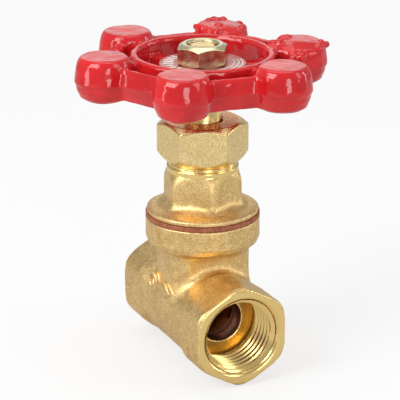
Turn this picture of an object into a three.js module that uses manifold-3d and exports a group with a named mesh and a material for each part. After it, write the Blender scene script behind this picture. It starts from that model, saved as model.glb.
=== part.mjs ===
// Brass gate valve, G 1/2, with a non-rising stem and a six-knob handwheel.
// Units are millimetres. X is the bore axis, Z is the stem axis, and they cross at the origin.
// The gate is drawn open.
import * as THREE from "three";
import { mergeVertices } from "three/addons/utils/BufferGeometryUtils.js";
import Module from "manifold-3d";

const wasm = await Module();
wasm.setup();

// Driving dimensions.
const GAP = 0.3; // running and assembly clearance
const SEAT_ANGLE = THREE.MathUtils.degToRad(5);

const HALF_LENGTH = 26; // from the stem axis to each end face
const BARREL = { r: 13.1, end: 10.5 };
const END_HEX = { flats: 26, limitR: 14.2, start: 15.5, faceR: 13.3, chamfer: 0.8 };
const BORE_R = 6; // through the seats

// G 1/2 pipe thread, drawn as a plain hole of its minor radius with a 45 degree mouth.
const PORT = { minorR: 9.32, mouthR: 11.4, depth: 13.6 };

const NECK = { width: 23.7, thickness: 17.8, cornerR: 4.6, top: 20.5 };
const BELL = { r: 15.8, bottom: 19.2, top: 27.3, edgeR: 2.2, footR: 10.4, footDrop: 1.2 };
const CAVITY = { halfX: 7.2, r: 9.6 };
const COUNTERBORE = { r: 12.9, floor: 21.2 };
const SEAT = { r: 8.4, halfThickness: 6.0 };
const GUIDE_RIB = { halfWidth: 1.2, innerY: 8.0, bottom: -6, top: 17.5 };

const TRAVEL = 15; // of the gate, from shut to open
const GATE = { r: 8.4, halfThickness: 5.7, bossR: 5.9, bossTop: 17, pocketBottom: -5 };
const GATE_EAR = { y: 9.1, halfX: 3.4, bottom: -1.5, top: 5, slotHalf: 1.6, slotY: 7.6 };

const STEM_THREAD = { major: 3.9, minor: 2.8, pitch: 3, crest: 0.3, nutCrest: 0.52, bottom: 10.8, top: 32.6 };
const STEM = { r: 5, coreR: 4.1, collarR: 6.7, square: 8, top: 75.7 };
const COLLAR = { bottom: 34.8, top: 37 };
const WHEEL_SEAT = 60.5; // the stem's shoulder under the hub

const GASKET = { inner: 12.9, thickness: 1.2 };
const FLANGE_TOP = 30;
const BONNET = { skirtR: 12.6, skirtBottom: 21.6, flangeR: 15.4, neckR: 9.4, neckTop: 43 };
const BONNET_FILLET = [[12.4, FLANGE_TOP + 0.6], [10.6, FLANGE_TOP + 1.6]];
const BONNET_BORE = { skirtR: 9.4, skirtTop: 25, r: 6.4, start: 28, shaftR: 5.4, backSeat: 2.1, land: 1.5 };
const BONNET_HEX = { r: 11.4, turn: -10 };
const BONNET_SHOULDER = [[11.6, 37.4], [11, 38.8], [10.4, 39.8], [9.9, 40.5], [9.9, 42]];
const STUFFING_BOX = { r: 7, floor: 34.5, top: 48.8, outerR: 8.5, edge: 0.5 };

const PACKING = { inner: 5.3, outer: 6.7, height: 2, count: 4 };
const WASHER_HEIGHT = 1;
const GLAND = { outer: 6.7, inner: 5.4, flangeR: 8.3, flangeHeight: 1.2 };
const PACKING_NUT = { flats: 22, bottom: 43.2, top: 54.6, boreR: 8.8, plate: 2.8, holeR: 5.5, turn: -53 };
const PACKING_NUT_CHAMFER = { bottomR: 9.9, bottomRise: 2.5, topR: 10.2, topDrop: 1.3 };

const WHEEL_TOP = 69.9; // of the hub, under the name plate
const KNOB = { count: 6, radius: 27.8, turn: -95.3 };
const KNOB_PROFILE = [
  [5.4, 63.2],
  [6.9, 64.4],
  [7.8, 68.2],
  [7.5, 71.6],
  [6.9, 74],
  [6.1, 74.8],
];
const RIM = { outer: 25.5, inner: 22.3, bottom: 64, top: 72.4, edge: 0.9 };
const RING = { outer: 19.5, inner: 17.4, bottom: 65.5, top: 73.5, edge: 0.7 };
const WEB = { halfWidth: 2.6, bottom: 66, top: 72.6 };
const SPOKE = { count: 3, halfWidth: 2.6, bottom: 64.5, top: 69.6 };
const HUB = { topR: 11.4, bottomR: 8.2, edge: 0.8, neckTop: 66.5, flare: 68.4 };
const PLATE = { r: 11.8, holeR: 4.2, height: 0.6 };
const WHEEL_NUT = { flats: 12.8, height: 5.5, holeR: 4.2, turn: -32.5 };
const WHEEL_NUT_CHAMFER = { bottomRise: 0.6, topR: 5.4, topDrop: 1.1 };
const WHEEL_THREAD = { r: 3.95, edge: 0.6 };

// Facets on a full circle.
const FINE = 36;
const COARSE = 20;
const THREAD_FACETS = 16;

const OVERLAP = 0.2; // how far joined pieces of one body reach into each other
const ROOT_SHARE = 0.76; // of a thread's pitch that its ridge takes at the foot
const SINK = 0.02; // of a ridge's foot in the core

// Makes a manifold-3d solid from a closed three.js geometry.
function solidOf(geometry) {
  const bare = geometry.clone();
  bare.deleteAttribute("normal");
  bare.deleteAttribute("uv");
  const merged = mergeVertices(bare, 1e-4);
  const corners = merged.index.array;
  const triangles = [];
  for (let i = 0; i < corners.length; i += 3) {
    const [a, b, c] = [corners[i], corners[i + 1], corners[i + 2]];
    if (a !== b && b !== c && c !== a) {
      triangles.push(a, b, c);
    }
  }
  return new wasm.Manifold(
    new wasm.Mesh({
      numProp: 3,
      vertProperties: new Float32Array(merged.attributes.position.array),
      triVerts: new Uint32Array(triangles),
    }),
  );
}

function geometryOf(solid) {
  const mesh = solid.getMesh();
  const geometry = new THREE.BufferGeometry();
  geometry.setAttribute("position", new THREE.BufferAttribute(mesh.vertProperties, 3));
  geometry.setIndex(new THREE.BufferAttribute(mesh.triVerts, 1));
  geometry.computeVertexNormals();
  return geometry;
}

function partOf(name, solid, colour, roughness, metalness) {
  const material = new THREE.MeshStandardMaterial({ color: colour, roughness, metalness });
  const mesh = new THREE.Mesh(geometryOf(solid), material);
  mesh.name = name;
  return mesh;
}

// A solid of revolution about Z. The outline is a list of [radius, height], anticlockwise.
function turned(outline, facets = FINE) {
  const points = outline.map(([r, z]) => new THREE.Vector2(r, z));
  const geometry = new THREE.LatheGeometry(points, facets);
  geometry.rotateX(Math.PI / 2);
  return solidOf(geometry);
}

function cylinder(r, bottom, top, facets = FINE) {
  return turned([[0, bottom], [r, bottom], [r, top], [0, top]], facets);
}

function tube(outer, inner, bottom, top, facets = FINE) {
  return turned([[inner, bottom], [outer, bottom], [outer, top], [inner, top], [inner, bottom]], facets);
}

// Turns a solid about Z into one about X.
function alongX(solid) {
  return solid.rotate([0, 90, 0]);
}

function box(x0, x1, y0, y1, z0, z1) {
  const geometry = new THREE.BoxGeometry(x1 - x0, y1 - y0, z1 - z0);
  geometry.translate((x0 + x1) / 2, (y0 + y1) / 2, (z0 + z1) / 2);
  return solidOf(geometry);
}

function extruded(shape, bottom, top, curveSegments = 8) {
  const depth = top - bottom;
  const geometry = new THREE.ExtrudeGeometry(shape, { depth, bevelEnabled: false, curveSegments });
  geometry.translate(0, 0, bottom);
  return solidOf(geometry);
}

// A hexagon prism about Z with its first corner at the given angle.
function hexagon(cornerR, bottom, top, turnDegrees = 0) {
  const shape = new THREE.Shape();
  for (let i = 0; i < 6; i += 1) {
    const angle = THREE.MathUtils.degToRad(turnDegrees + 60 * i);
    const [x, y] = [cornerR * Math.cos(angle), cornerR * Math.sin(angle)];
    if (i === 0) {
      shape.moveTo(x, y);
    } else {
      shape.lineTo(x, y);
    }
  }
  return extruded(shape, bottom, top);
}

const cornerOf = (flats) => flats / Math.sqrt(3);

function roundedRectangle(width, height, r) {
  const [x, y] = [width / 2, height / 2];
  const shape = new THREE.Shape();
  shape.moveTo(-x + r, -y);
  shape.lineTo(x - r, -y);
  shape.absarc(x - r, -y + r, r, -Math.PI / 2, 0);
  shape.lineTo(x, y - r);
  shape.absarc(x - r, y - r, r, 0, Math.PI / 2);
  shape.lineTo(-x + r, y);
  shape.absarc(-x + r, y - r, r, Math.PI / 2, Math.PI);
  shape.lineTo(-x, -y + r);
  shape.absarc(-x + r, -y + r, r, Math.PI, 1.5 * Math.PI);
  return shape;
}

// A screw thread about Z as one closed body: a core of the minor radius with the ridge on it.
// A hand of 1 is a right-hand thread and -1 a left-hand one. The crest is a share of the pitch.
// The helix crosses +X at each whole pitch, so two threads of one pitch run in step.
function screw({ major, minor, pitch, bottom, top, hand, crest }) {
  const facets = THREAD_FACETS;
  const turns = Math.ceil((top - bottom) / pitch) + 3;
  const rootHalf = (pitch * ROOT_SHARE) / 2;
  const crestHalf = (pitch * crest) / 2;
  const rows = turns * facets;
  const start = (Math.floor(bottom / pitch) - 1) * pitch;
  const inner = minor / 2;
  const foot = minor - SINK;
  const section = [
    [inner, -rootHalf],
    [foot, -rootHalf],
    [major, -crestHalf],
    [major, crestHalf],
    [foot, rootHalf],
    [inner, rootHalf],
  ];
  const positions = [];
  for (let row = 0; row <= rows; row += 1) {
    const angle = (hand * row * 2 * Math.PI) / facets;
    const rise = start + (row * pitch) / facets;
    for (const [r, z] of section) {
      positions.push(r * Math.cos(angle), r * Math.sin(angle), rise + z);
    }
  }
  const n = section.length;
  const index = [];
  const face = (a, b, c) => (hand > 0 ? index.push(a, b, c) : index.push(a, c, b));
  for (let row = 0; row < rows; row += 1) {
    for (let k = 0; k < n; k += 1) {
      const [a, b] = [row * n + k, row * n + ((k + 1) % n)];
      face(a, a + n, b + n);
      face(a, b + n, b);
    }
  }
  for (let k = 1; k < n - 1; k += 1) {
    face(0, k, k + 1);
    face(rows * n, rows * n + k + 1, rows * n + k);
  }
  const geometry = new THREE.BufferGeometry();
  geometry.setAttribute("position", new THREE.Float32BufferAttribute(positions, 3));
  geometry.setIndex(index);
  const ridge = solidOf(geometry);
  const core = cylinder(minor, bottom, top, facets);
  const limits = cylinder(major + 1, bottom, top, facets);
  return core.add(ridge.intersect(limits));
}

// Joins a list of solids.
function joined(solids) {
  return solids.reduce((whole, next) => whole.add(next));
}

// Copies a solid to several angles about Z.
function aroundZ(solid, count, turnDegrees) {
  const copies = [];
  for (let i = 0; i < count; i += 1) {
    copies.push(solid.rotate([0, 0, turnDegrees + (360 / count) * i]));
  }
  return joined(copies);
}

// Distance from the middle plane to a seat face at a height above the gate's centre.
const wedgeHalf = (middle, z) => middle + z * Math.tan(SEAT_ANGLE);

// A wedge block that narrows downwards, as wide in Y as asked.
function wedge(middle, halfY, bottom, top) {
  const shape = new THREE.Shape();
  shape.moveTo(-wedgeHalf(middle, bottom), bottom);
  shape.lineTo(wedgeHalf(middle, bottom), bottom);
  shape.lineTo(wedgeHalf(middle, top), top);
  shape.lineTo(-wedgeHalf(middle, top), top);
  return extruded(shape, -halfY, halfY).rotate([90, 0, 0]);
}

function bodyOutside() {
  const { flats, limitR, start, faceR, chamfer } = END_HEX;
  const ends = alongX(hexagon(cornerOf(flats), -HALF_LENGTH, HALF_LENGTH, 0));
  const half = [
    [BARREL.r, 0],
    [BARREL.r, BARREL.end],
    [limitR, start],
    [limitR, HALF_LENGTH - chamfer],
    [faceR, HALF_LENGTH],
  ];
  const mirrored = half.slice(1).reverse().map(([r, x]) => [r, -x]);
  const limits = alongX(turned([[0, -HALF_LENGTH], ...mirrored, ...half, [0, HALF_LENGTH]]));
  const neck = extruded(roundedRectangle(NECK.thickness, NECK.width, NECK.cornerR), 0, NECK.top, 6);
  const edge = [0, 30, 60, 90].map((degrees) => {
    const angle = THREE.MathUtils.degToRad(degrees);
    const centre = BELL.r - BELL.edgeR;
    return [centre + BELL.edgeR * Math.sin(angle), BELL.bottom + BELL.edgeR * (1 - Math.cos(angle))];
  });
  const foot = BELL.bottom - BELL.footDrop;
  const bell = turned([[0, foot], [BELL.footR, foot], ...edge, [BELL.r, BELL.top], [0, BELL.top]]);
  return joined([ends.intersect(limits), neck, bell]);
}

// The hollow of one pipe end, from its mouth to the seat.
function portHollow() {
  const { minorR, mouthR, depth } = PORT;
  const floor = HALF_LENGTH - depth;
  const open = HALF_LENGTH + 1;
  const bore = turned([
    [0, 0],
    [BORE_R, 0],
    [BORE_R, floor],
    [minorR, floor],
    [minorR, HALF_LENGTH - (mouthR - minorR)],
    [mouthR, HALF_LENGTH],
    [mouthR, open],
    [0, open],
  ]);
  return alongX(bore);
}

function chamber() {
  const { halfX, r } = CAVITY;
  const shape = new THREE.Shape();
  shape.moveTo(r, COUNTERBORE.floor + 1);
  shape.lineTo(-r, COUNTERBORE.floor + 1);
  shape.lineTo(-r, 0);
  shape.absarc(0, 0, r, Math.PI, 2 * Math.PI);
  return extruded(shape, -halfX, halfX, 16).rotate([90, 0, 90]);
}

function seats() {
  const ring = alongX(tube(SEAT.r, BORE_R, -CAVITY.halfX - 0.5, CAVITY.halfX + 0.5));
  return ring.subtract(wedge(SEAT.halfThickness, SEAT.r + 1, -SEAT.r - 1, SEAT.r + 1));
}

function guideRibs() {
  const { halfWidth, innerY, bottom, top } = GUIDE_RIB;
  const rib = box(-halfWidth, halfWidth, innerY, CAVITY.r + 0.5, bottom, top);
  return rib.add(rib.mirror([0, 1, 0]));
}

function valveBody() {
  const cover = cylinder(COUNTERBORE.r, COUNTERBORE.floor, BELL.top + 1);
  const ports = portHollow().add(portHollow().rotate([0, 0, 180]));
  const hollow = chamber().subtract(seats()).subtract(guideRibs());
  return bodyOutside().subtract(hollow).subtract(cover).subtract(ports);
}

function gate() {
  const { r, halfThickness, bossR, bossTop, pocketBottom } = GATE;
  const disc = wedge(halfThickness, r + 1, -r, r).intersect(alongX(cylinder(r, -r - 1, r + 1)));
  const ears = box(-GATE_EAR.halfX, GATE_EAR.halfX, -GATE_EAR.y, GATE_EAR.y, GATE_EAR.bottom, GATE_EAR.top);
  const slot = box(
    -GATE_EAR.slotHalf,
    GATE_EAR.slotHalf,
    GATE_EAR.slotY,
    GATE_EAR.y + 1,
    GATE_EAR.bottom - r,
    GATE_EAR.top + r,
  );
  const boss = cylinder(bossR, 0, bossTop, COARSE);
  const threadBottom = STEM_THREAD.bottom - GAP - OVERLAP;
  const pocket = cylinder(STEM_THREAD.major + GAP, pocketBottom, threadBottom, COARSE);
  const outside = joined([disc, ears, boss]).subtract(slot).subtract(slot.mirror([0, 1, 0])).subtract(pocket);
  return outside.translate([0, 0, TRAVEL]).subtract(stemThread(GAP));
}

// The stem's left-hand thread, grown by a clearance where it cuts the gate.
function stemThread(clearance) {
  const { major, minor, pitch, bottom, top } = STEM_THREAD;
  const from = clearance > 0 ? TRAVEL + bottom - clearance - OVERLAP : bottom;
  return screw({
    major: major + clearance,
    minor: minor + clearance,
    pitch,
    bottom: from,
    top,
    hand: -1,
    crest: clearance > 0 ? STEM_THREAD.nutCrest : STEM_THREAD.crest,
  });
}

function stem() {
  const { r, coreR, collarR, square, top } = STEM;
  const shoulder = STUFFING_BOX.floor - BONNET_BORE.land;
  const shaft = turned([
    [0, STEM_THREAD.top - OVERLAP],
    [coreR, STEM_THREAD.top - OVERLAP],
    [coreR, shoulder],
    [r, shoulder + (r - coreR)],
    [r, COLLAR.bottom],
    [collarR, COLLAR.bottom],
    [collarR, COLLAR.top],
    [r, COLLAR.top],
    [r, WHEEL_SEAT],
    [0, WHEEL_SEAT],
  ]);
  const half = square / 2;
  const drive = cylinder(r, WHEEL_SEAT - 1, WHEEL_TOP - GAP, COARSE).intersect(
    box(-half, half, -half, half, WHEEL_SEAT - 1, WHEEL_TOP),
  );
  const end = turned([
    [0, WHEEL_TOP - 1],
    [WHEEL_THREAD.r, WHEEL_TOP - 1],
    [WHEEL_THREAD.r, top - WHEEL_THREAD.edge],
    [WHEEL_THREAD.r - WHEEL_THREAD.edge, top],
    [0, top],
  ], COARSE);
  return joined([stemThread(0), shaft, drive, end]);
}

function bonnet() {
  const { skirtR, skirtBottom, flangeR, neckR, neckTop } = BONNET;
  const foot = BELL.top + GASKET.thickness;
  const base = turned([
    [0, skirtBottom],
    [skirtR, skirtBottom],
    [skirtR, foot],
    [flangeR, foot],
    [flangeR, FLANGE_TOP - 0.5],
    [flangeR - 0.9, FLANGE_TOP],
    ...BONNET_FILLET,
    [neckR, FLANGE_TOP + 3],
    [neckR, neckTop],
    [STUFFING_BOX.outerR, neckTop],
    [STUFFING_BOX.outerR, STUFFING_BOX.top - STUFFING_BOX.edge],
    [STUFFING_BOX.outerR - STUFFING_BOX.edge, STUFFING_BOX.top],
    [0, STUFFING_BOX.top],
  ]);
  const dome = turned([
    [0, FLANGE_TOP],
    [BONNET_SHOULDER[0][0], FLANGE_TOP],
    ...BONNET_SHOULDER,
    [0, BONNET_SHOULDER.at(-1)[1]],
  ]);
  const hex = hexagon(BONNET_HEX.r, FLANGE_TOP, neckTop, BONNET_HEX.turn).intersect(dome);
  return base.add(hex).subtract(bonnetHollow());
}

// The way for the stem, from the skirt up through the stuffing box.
function bonnetHollow() {
  const { skirtR, skirtTop, r, start, shaftR, backSeat, land } = BONNET_BORE;
  const { floor, top } = STUFFING_BOX;
  const below = BONNET.skirtBottom - 1;
  return turned([
    [0, below],
    [skirtR, below],
    [skirtR, skirtTop],
    [r, start],
    [r, floor - backSeat],
    [shaftR, floor - land],
    [shaftR, floor],
    [STUFFING_BOX.r, floor],
    [STUFFING_BOX.r, top + 1],
    [0, top + 1],
  ]);
}

function packingNut() {
  const { flats, bottom, top, boreR, plate, holeR, turn } = PACKING_NUT;
  const { bottomR, bottomRise, topR, topDrop } = PACKING_NUT_CHAMFER;
  const cornerR = cornerOf(flats);
  const limits = turned([
    [0, bottom],
    [bottomR, bottom],
    [cornerR, bottom + bottomRise],
    [cornerR, top - topDrop],
    [topR, top],
    [0, top],
  ]);
  const hollow = turned([
    [0, bottom - 1],
    [boreR, bottom - 1],
    [boreR, top - plate],
    [holeR, top - plate],
    [holeR, top - 0.5],
    [holeR + 1.5, top + 1],
    [0, top + 1],
  ]);
  return hexagon(cornerR, bottom, top, turn).intersect(limits).subtract(hollow);
}

// What the stuffing box holds, from the collar upwards, each a clearance above the last.
function stuffingBoxParts() {
  const parts = [];
  let z = COLLAR.top + GAP;
  const washer = tube(PACKING.outer, PACKING.inner, z, z + WASHER_HEIGHT);
  parts.push(partOf("thrust_washer", washer, "#d8c9a0", 0.35, 0.9));
  z += WASHER_HEIGHT + GAP;
  for (let i = 1; i <= PACKING.count; i += 1) {
    const ring = tube(PACKING.outer, PACKING.inner, z, z + PACKING.height);
    parts.push(partOf(`packing_ring_${i}`, ring, "#2b2b2d", 0.7, 0.1));
    z += PACKING.height + GAP;
  }
  const seat = PACKING_NUT.top - PACKING_NUT.plate - GAP;
  const gland = turned([
    [GLAND.inner, z],
    [GLAND.outer, z],
    [GLAND.outer, seat - GLAND.flangeHeight],
    [GLAND.flangeR, seat - GLAND.flangeHeight],
    [GLAND.flangeR, seat],
    [GLAND.inner, seat],
    [GLAND.inner, z],
  ]);
  parts.push(partOf("packing_gland", gland, "#d9b45c", 0.3, 1));
  return parts;
}

// A ring about Z with a narrower crest.
function crestedRing(outer, inner, bottom, top, edge, facets) {
  return turned([
    [inner + edge, bottom],
    [outer - edge, bottom],
    [outer, bottom + 2 * edge],
    [outer, top - 2 * edge],
    [outer - edge, top],
    [inner + edge, top],
    [inner, top - 2 * edge],
    [inner, bottom + 2 * edge],
    [inner + edge, bottom],
  ], facets);
}

function handwheel() {
  const profile = [[0, KNOB_PROFILE[0][1]], ...KNOB_PROFILE, [0, KNOB_PROFILE.at(-1)[1]]];
  const knob = turned(profile, COARSE).translate([KNOB.radius, 0, 0]);
  // The rim is a six-sided ring: a circle of six facets has its corners under the knobs.
  const toCorner = 2 / Math.sqrt(3);
  const { outer, inner, bottom, top, edge } = RIM;
  const rim = crestedRing(outer * toCorner, inner * toCorner, bottom, top, edge, KNOB.count);
  const web = box(RING.inner + 0.5, RIM.outer, -WEB.halfWidth, WEB.halfWidth, WEB.bottom, WEB.top);
  const { halfWidth } = SPOKE;
  const spoke = box(HUB.bottomR - 1, RING.inner + 1, -halfWidth, halfWidth, SPOKE.bottom, SPOKE.top);
  const ring = crestedRing(RING.outer, RING.inner, RING.bottom, RING.top, RING.edge, FINE);
  const hub = turned([
    [0, WHEEL_SEAT],
    [HUB.bottomR - HUB.edge, WHEEL_SEAT],
    [HUB.bottomR, WHEEL_SEAT + HUB.edge],
    [HUB.bottomR, HUB.neckTop],
    [HUB.topR, HUB.flare],
    [HUB.topR, WHEEL_TOP],
    [0, WHEEL_TOP],
  ]);
  const hole = STEM.square / 2 + GAP;
  const square = box(-hole, hole, -hole, hole, WHEEL_SEAT - 1, WHEEL_TOP + 1);
  // LatheGeometry puts its first corner on -Y, so the rim is turned to meet the knobs.
  return joined([
    aroundZ(knob, KNOB.count, KNOB.turn),
    rim.rotate([0, 0, KNOB.turn + 90]),
    aroundZ(web, KNOB.count, KNOB.turn),
    aroundZ(spoke, SPOKE.count, KNOB.turn + 60),
    ring,
    hub,
  ]).subtract(square);
}

function wheelNut() {
  const { flats, height, holeR, turn } = WHEEL_NUT;
  const { bottomRise, topR, topDrop } = WHEEL_NUT_CHAMFER;
  const bottom = WHEEL_TOP + PLATE.height;
  const top = bottom + height;
  const cornerR = cornerOf(flats);
  const limits = turned([
    [0, bottom],
    [flats / 2, bottom],
    [cornerR, bottom + bottomRise],
    [cornerR, top - topDrop],
    [topR, top],
    [0, top],
  ], COARSE);
  const hollow = cylinder(holeR, bottom - 1, top + 1, COARSE);
  return hexagon(cornerR, bottom, top, turn).intersect(limits).subtract(hollow);
}

function gasket() {
  return tube(BELL.r, GASKET.inner, BELL.top, BELL.top + GASKET.thickness);
}

function namePlate() {
  return tube(PLATE.r, PLATE.holeR, WHEEL_TOP, WHEEL_TOP + PLATE.height);
}

// Each material as colour, roughness and metalness.
const CAST_BRASS = ["#cdac6c", 0.5, 0.9];
const TURNED_BRASS = ["#e3c478", 0.25, 1];
const RED_PAINT = ["#c8282c", 0.3, 0];
const FIBRE = ["#86402f", 0.8, 0];
const PLATED_STEEL = ["#cbb98a", 0.35, 1];
const PRINTED_PLATE = ["#c9a9a4", 0.4, 0.7];

const valve = new THREE.Group();
valve.add(partOf("valve_body", valveBody(), ...CAST_BRASS));
valve.add(partOf("gate", gate(), ...CAST_BRASS));
valve.add(partOf("bonnet_gasket", gasket(), ...FIBRE));
valve.add(partOf("bonnet", bonnet(), ...CAST_BRASS));
valve.add(...stuffingBoxParts());
valve.add(partOf("packing_nut", packingNut(), ...TURNED_BRASS));
valve.add(partOf("stem", stem(), ...TURNED_BRASS));
valve.add(partOf("handwheel", handwheel(), ...RED_PAINT));
valve.add(partOf("name_plate", namePlate(), ...PRINTED_PLATE));
valve.add(partOf("wheel_nut", wheelNut(), ...PLATED_STEEL));

export default valve;
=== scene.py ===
import math

import bpy
import numpy as np
from mathutils import Matrix, Vector, noise


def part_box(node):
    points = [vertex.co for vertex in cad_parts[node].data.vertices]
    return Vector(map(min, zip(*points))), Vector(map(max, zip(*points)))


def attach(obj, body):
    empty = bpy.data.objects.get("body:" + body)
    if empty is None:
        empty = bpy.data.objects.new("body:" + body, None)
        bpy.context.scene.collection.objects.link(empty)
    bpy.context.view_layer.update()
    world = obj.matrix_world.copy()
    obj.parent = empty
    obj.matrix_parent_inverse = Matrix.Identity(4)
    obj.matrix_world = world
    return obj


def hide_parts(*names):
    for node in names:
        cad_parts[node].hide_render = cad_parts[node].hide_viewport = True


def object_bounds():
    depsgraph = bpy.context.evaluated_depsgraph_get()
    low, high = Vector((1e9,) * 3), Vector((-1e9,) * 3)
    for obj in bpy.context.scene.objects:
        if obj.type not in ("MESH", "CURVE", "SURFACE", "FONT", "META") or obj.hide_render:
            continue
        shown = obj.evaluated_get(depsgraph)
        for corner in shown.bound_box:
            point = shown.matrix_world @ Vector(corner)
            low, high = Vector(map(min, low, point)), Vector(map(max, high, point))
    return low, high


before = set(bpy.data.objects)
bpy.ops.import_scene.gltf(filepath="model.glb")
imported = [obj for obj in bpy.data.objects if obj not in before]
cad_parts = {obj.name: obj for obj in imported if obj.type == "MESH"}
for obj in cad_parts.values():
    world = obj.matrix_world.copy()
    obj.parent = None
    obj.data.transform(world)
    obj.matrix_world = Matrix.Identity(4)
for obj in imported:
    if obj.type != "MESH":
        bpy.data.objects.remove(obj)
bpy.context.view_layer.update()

mm = 0.001  # the shapes below are worked out in millimetres and stored in metres


def cadBox(node):
    low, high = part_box(node)
    return np.array(low) / mm, np.array(high) / mm


bodyLow, bodyHigh = cadBox("valve_body")
bonnetLow, bonnetHigh = cadBox("bonnet")
nutLow, nutHigh = cadBox("packing_nut")
stemLow, stemHigh = cadBox("stem")
wheelLow, wheelHigh = cadBox("handwheel")
_, plateHigh = cadBox("name_plate")
wheelNutLow, wheelNutHigh = cadBox("wheel_nut")
gateLow, gateHigh = cadBox("gate")
glandLow, glandHigh = cadBox("packing_gland")


# Solid shapes as fields: each returns the distance to a surface, below zero inside the metal.

def softMin(a, b, k):
    h = np.clip(0.5 + 0.5 * (b - a) / k, 0, 1)
    return b * (1 - h) + a * h - k * h * (1 - h)


def softMax(a, b, k):
    return -softMin(-a, -b, k)


def cut(a, b, k=0.3):
    return softMax(a, -b, k)


def slab(v, low, high):
    return np.abs(v - (low + high) / 2) - (high - low) / 2


def block(x, y, z, low, high, k=0.6):
    d = softMax(slab(x, low[0], high[0]), slab(y, low[1], high[1]), k)
    return softMax(d, slab(z, low[2], high[2]), k)


def hexagon(u, v, flats, turn=0.0, k=0.5):
    # the first corner lies at the angle turn
    d = None
    for side in (30, 90, 150):
        a = math.radians(turn + side)
        face = np.abs(u * math.cos(a) + v * math.sin(a)) - flats / 2
        d = face if d is None else softMax(d, face, k)
    return d


def roundedOblong(u, v, halfU, halfV, r):
    qu, qv = np.abs(u) - halfU + r, np.abs(v) - halfV + r
    outside = np.hypot(np.maximum(qu, 0), np.maximum(qv, 0))
    return outside + np.minimum(np.maximum(qu, qv), 0) - r


def insetOutline(outline, r):
    # moves each side of an anticlockwise outline inwards
    sides = []
    for (ax, ay), (bx, by) in zip(outline, outline[1:] + outline[:1]):
        length = math.hypot(bx - ax, by - ay)
        nx, ny = -(by - ay) / length, (bx - ax) / length
        sides.append((ax + nx * r, ay + ny * r, bx - ax, by - ay))
    points = []
    for (ax, ay, dx, dy), (bx, by, ex, ey) in zip(sides[-1:] + sides[:-1], sides):
        cross = dx * ey - dy * ex
        t = ((bx - ax) * ey - (by - ay) * ex) / cross
        points.append((ax + dx * t, ay + dy * t))
    return points


def outlineField(r, z, outline, rounding=0.0):
    # distance to a closed outline drawn in radius and height, with its outer corners rounded
    if rounding:
        outline = insetOutline(outline, rounding)
    best, sign = None, np.ones_like(r)
    for (ax, az), (bx, bz) in zip(outline, outline[1:] + outline[:1]):
        ex, ez = bx - ax, bz - az
        px, pz = r - ax, z - az
        t = np.clip((px * ex + pz * ez) / (ex * ex + ez * ez), 0, 1)
        d = (px - ex * t) ** 2 + (pz - ez * t) ** 2
        best = d if best is None else np.minimum(best, d)
        above, below, left = z >= az, z < bz, ex * pz > ez * px
        sign = np.where((above & below & left) | (~above & ~below & ~left), -sign, sign)
    return sign * np.sqrt(best) - rounding


def turnedField(x, y, z, outline, rounding=0.0):
    return outlineField(np.hypot(x, y), z, outline, rounding)


core = -6.0  # outlines of solid turned shapes run past the axis, so that the axis has no edge


def fieldSlope(field, points, step):
    slope = np.empty_like(points)
    for axis in range(3):
        ahead, behind = points.copy(), points.copy()
        ahead[:, axis] += step
        behind[:, axis] -= step
        slope[:, axis] = (field(*ahead.T) - field(*behind.T)) / (2 * step)
    return slope


def fieldPoints(field, low, high, step):
    # one point in each grid cell that the surface crosses, and the quads that join them
    axes = [np.arange(low[i] - 1.5 * step, high[i] + 2.5 * step, step) for i in range(3)]
    value = field(*np.meshgrid(*axes, indexing="ij"))
    solid = value < 0
    shape = np.array(value.shape) - 1
    corners = [(i, j, k) for i in (0, 1) for j in (0, 1) for k in (0, 1)]
    count = np.zeros(shape, np.int8)
    for i, j, k in corners:
        count += solid[i:i + shape[0], j:j + shape[1], k:k + shape[2]]
    cells = np.argwhere((count > 0) & (count < 8))
    total, hits = np.zeros((len(cells), 3)), np.zeros(len(cells))
    for start in corners:
        for axis in range(3):
            if start[axis]:
                continue
            end = list(start)
            end[axis] = 1
            a, b = value[tuple((cells + start).T)], value[tuple((cells + end).T)]
            crosses = (a < 0) != (b < 0)
            where = np.tile(np.array(start, float), (len(cells), 1))
            where[crosses, axis] = (a / np.where(crosses, a - b, 1))[crosses]
            total[crosses] += where[crosses]
            hits[crosses] += 1
    origin = np.array([a[0] for a in axes])
    points = (cells + total / hits[:, None]) * step + origin
    for _ in range(3):
        here, slope = field(*points.T), fieldSlope(field, points, step * 0.1)
        move = slope * (here / np.maximum((slope ** 2).sum(1), 0.3))[:, None]
        points -= np.clip(move, -0.4 * step, 0.4 * step)
    number = np.full(shape, -1)
    number[tuple(cells.T)] = np.arange(len(cells))
    quads = []
    for axis in range(3):
        u, v = (axis + 1) % 3, (axis + 2) % 3
        first = np.take(solid, range(shape[axis]), axis)
        second = np.take(solid, range(1, shape[axis] + 1), axis)
        edges = np.argwhere(first != second)
        keep = (edges[:, u] > 0) & (edges[:, v] > 0) & (edges[:, u] < shape[u]) & (edges[:, v] < shape[v])
        edges = edges[keep]
        stepU, stepV = np.eye(3, dtype=int)[u], np.eye(3, dtype=int)[v]
        ring = [edges, edges - stepU, edges - stepU - stepV, edges - stepV]
        quad = np.stack([number[tuple(c.T)] for c in ring], 1)
        inward = ~first[tuple(edges.T)]
        quad[inward] = quad[inward][:, ::-1]
        quads.append(quad)
    return points, np.concatenate(quads)


def addObject(name, mesh):
    piece = bpy.data.objects.new(name, mesh)
    bpy.context.scene.collection.objects.link(piece)
    return piece


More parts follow.
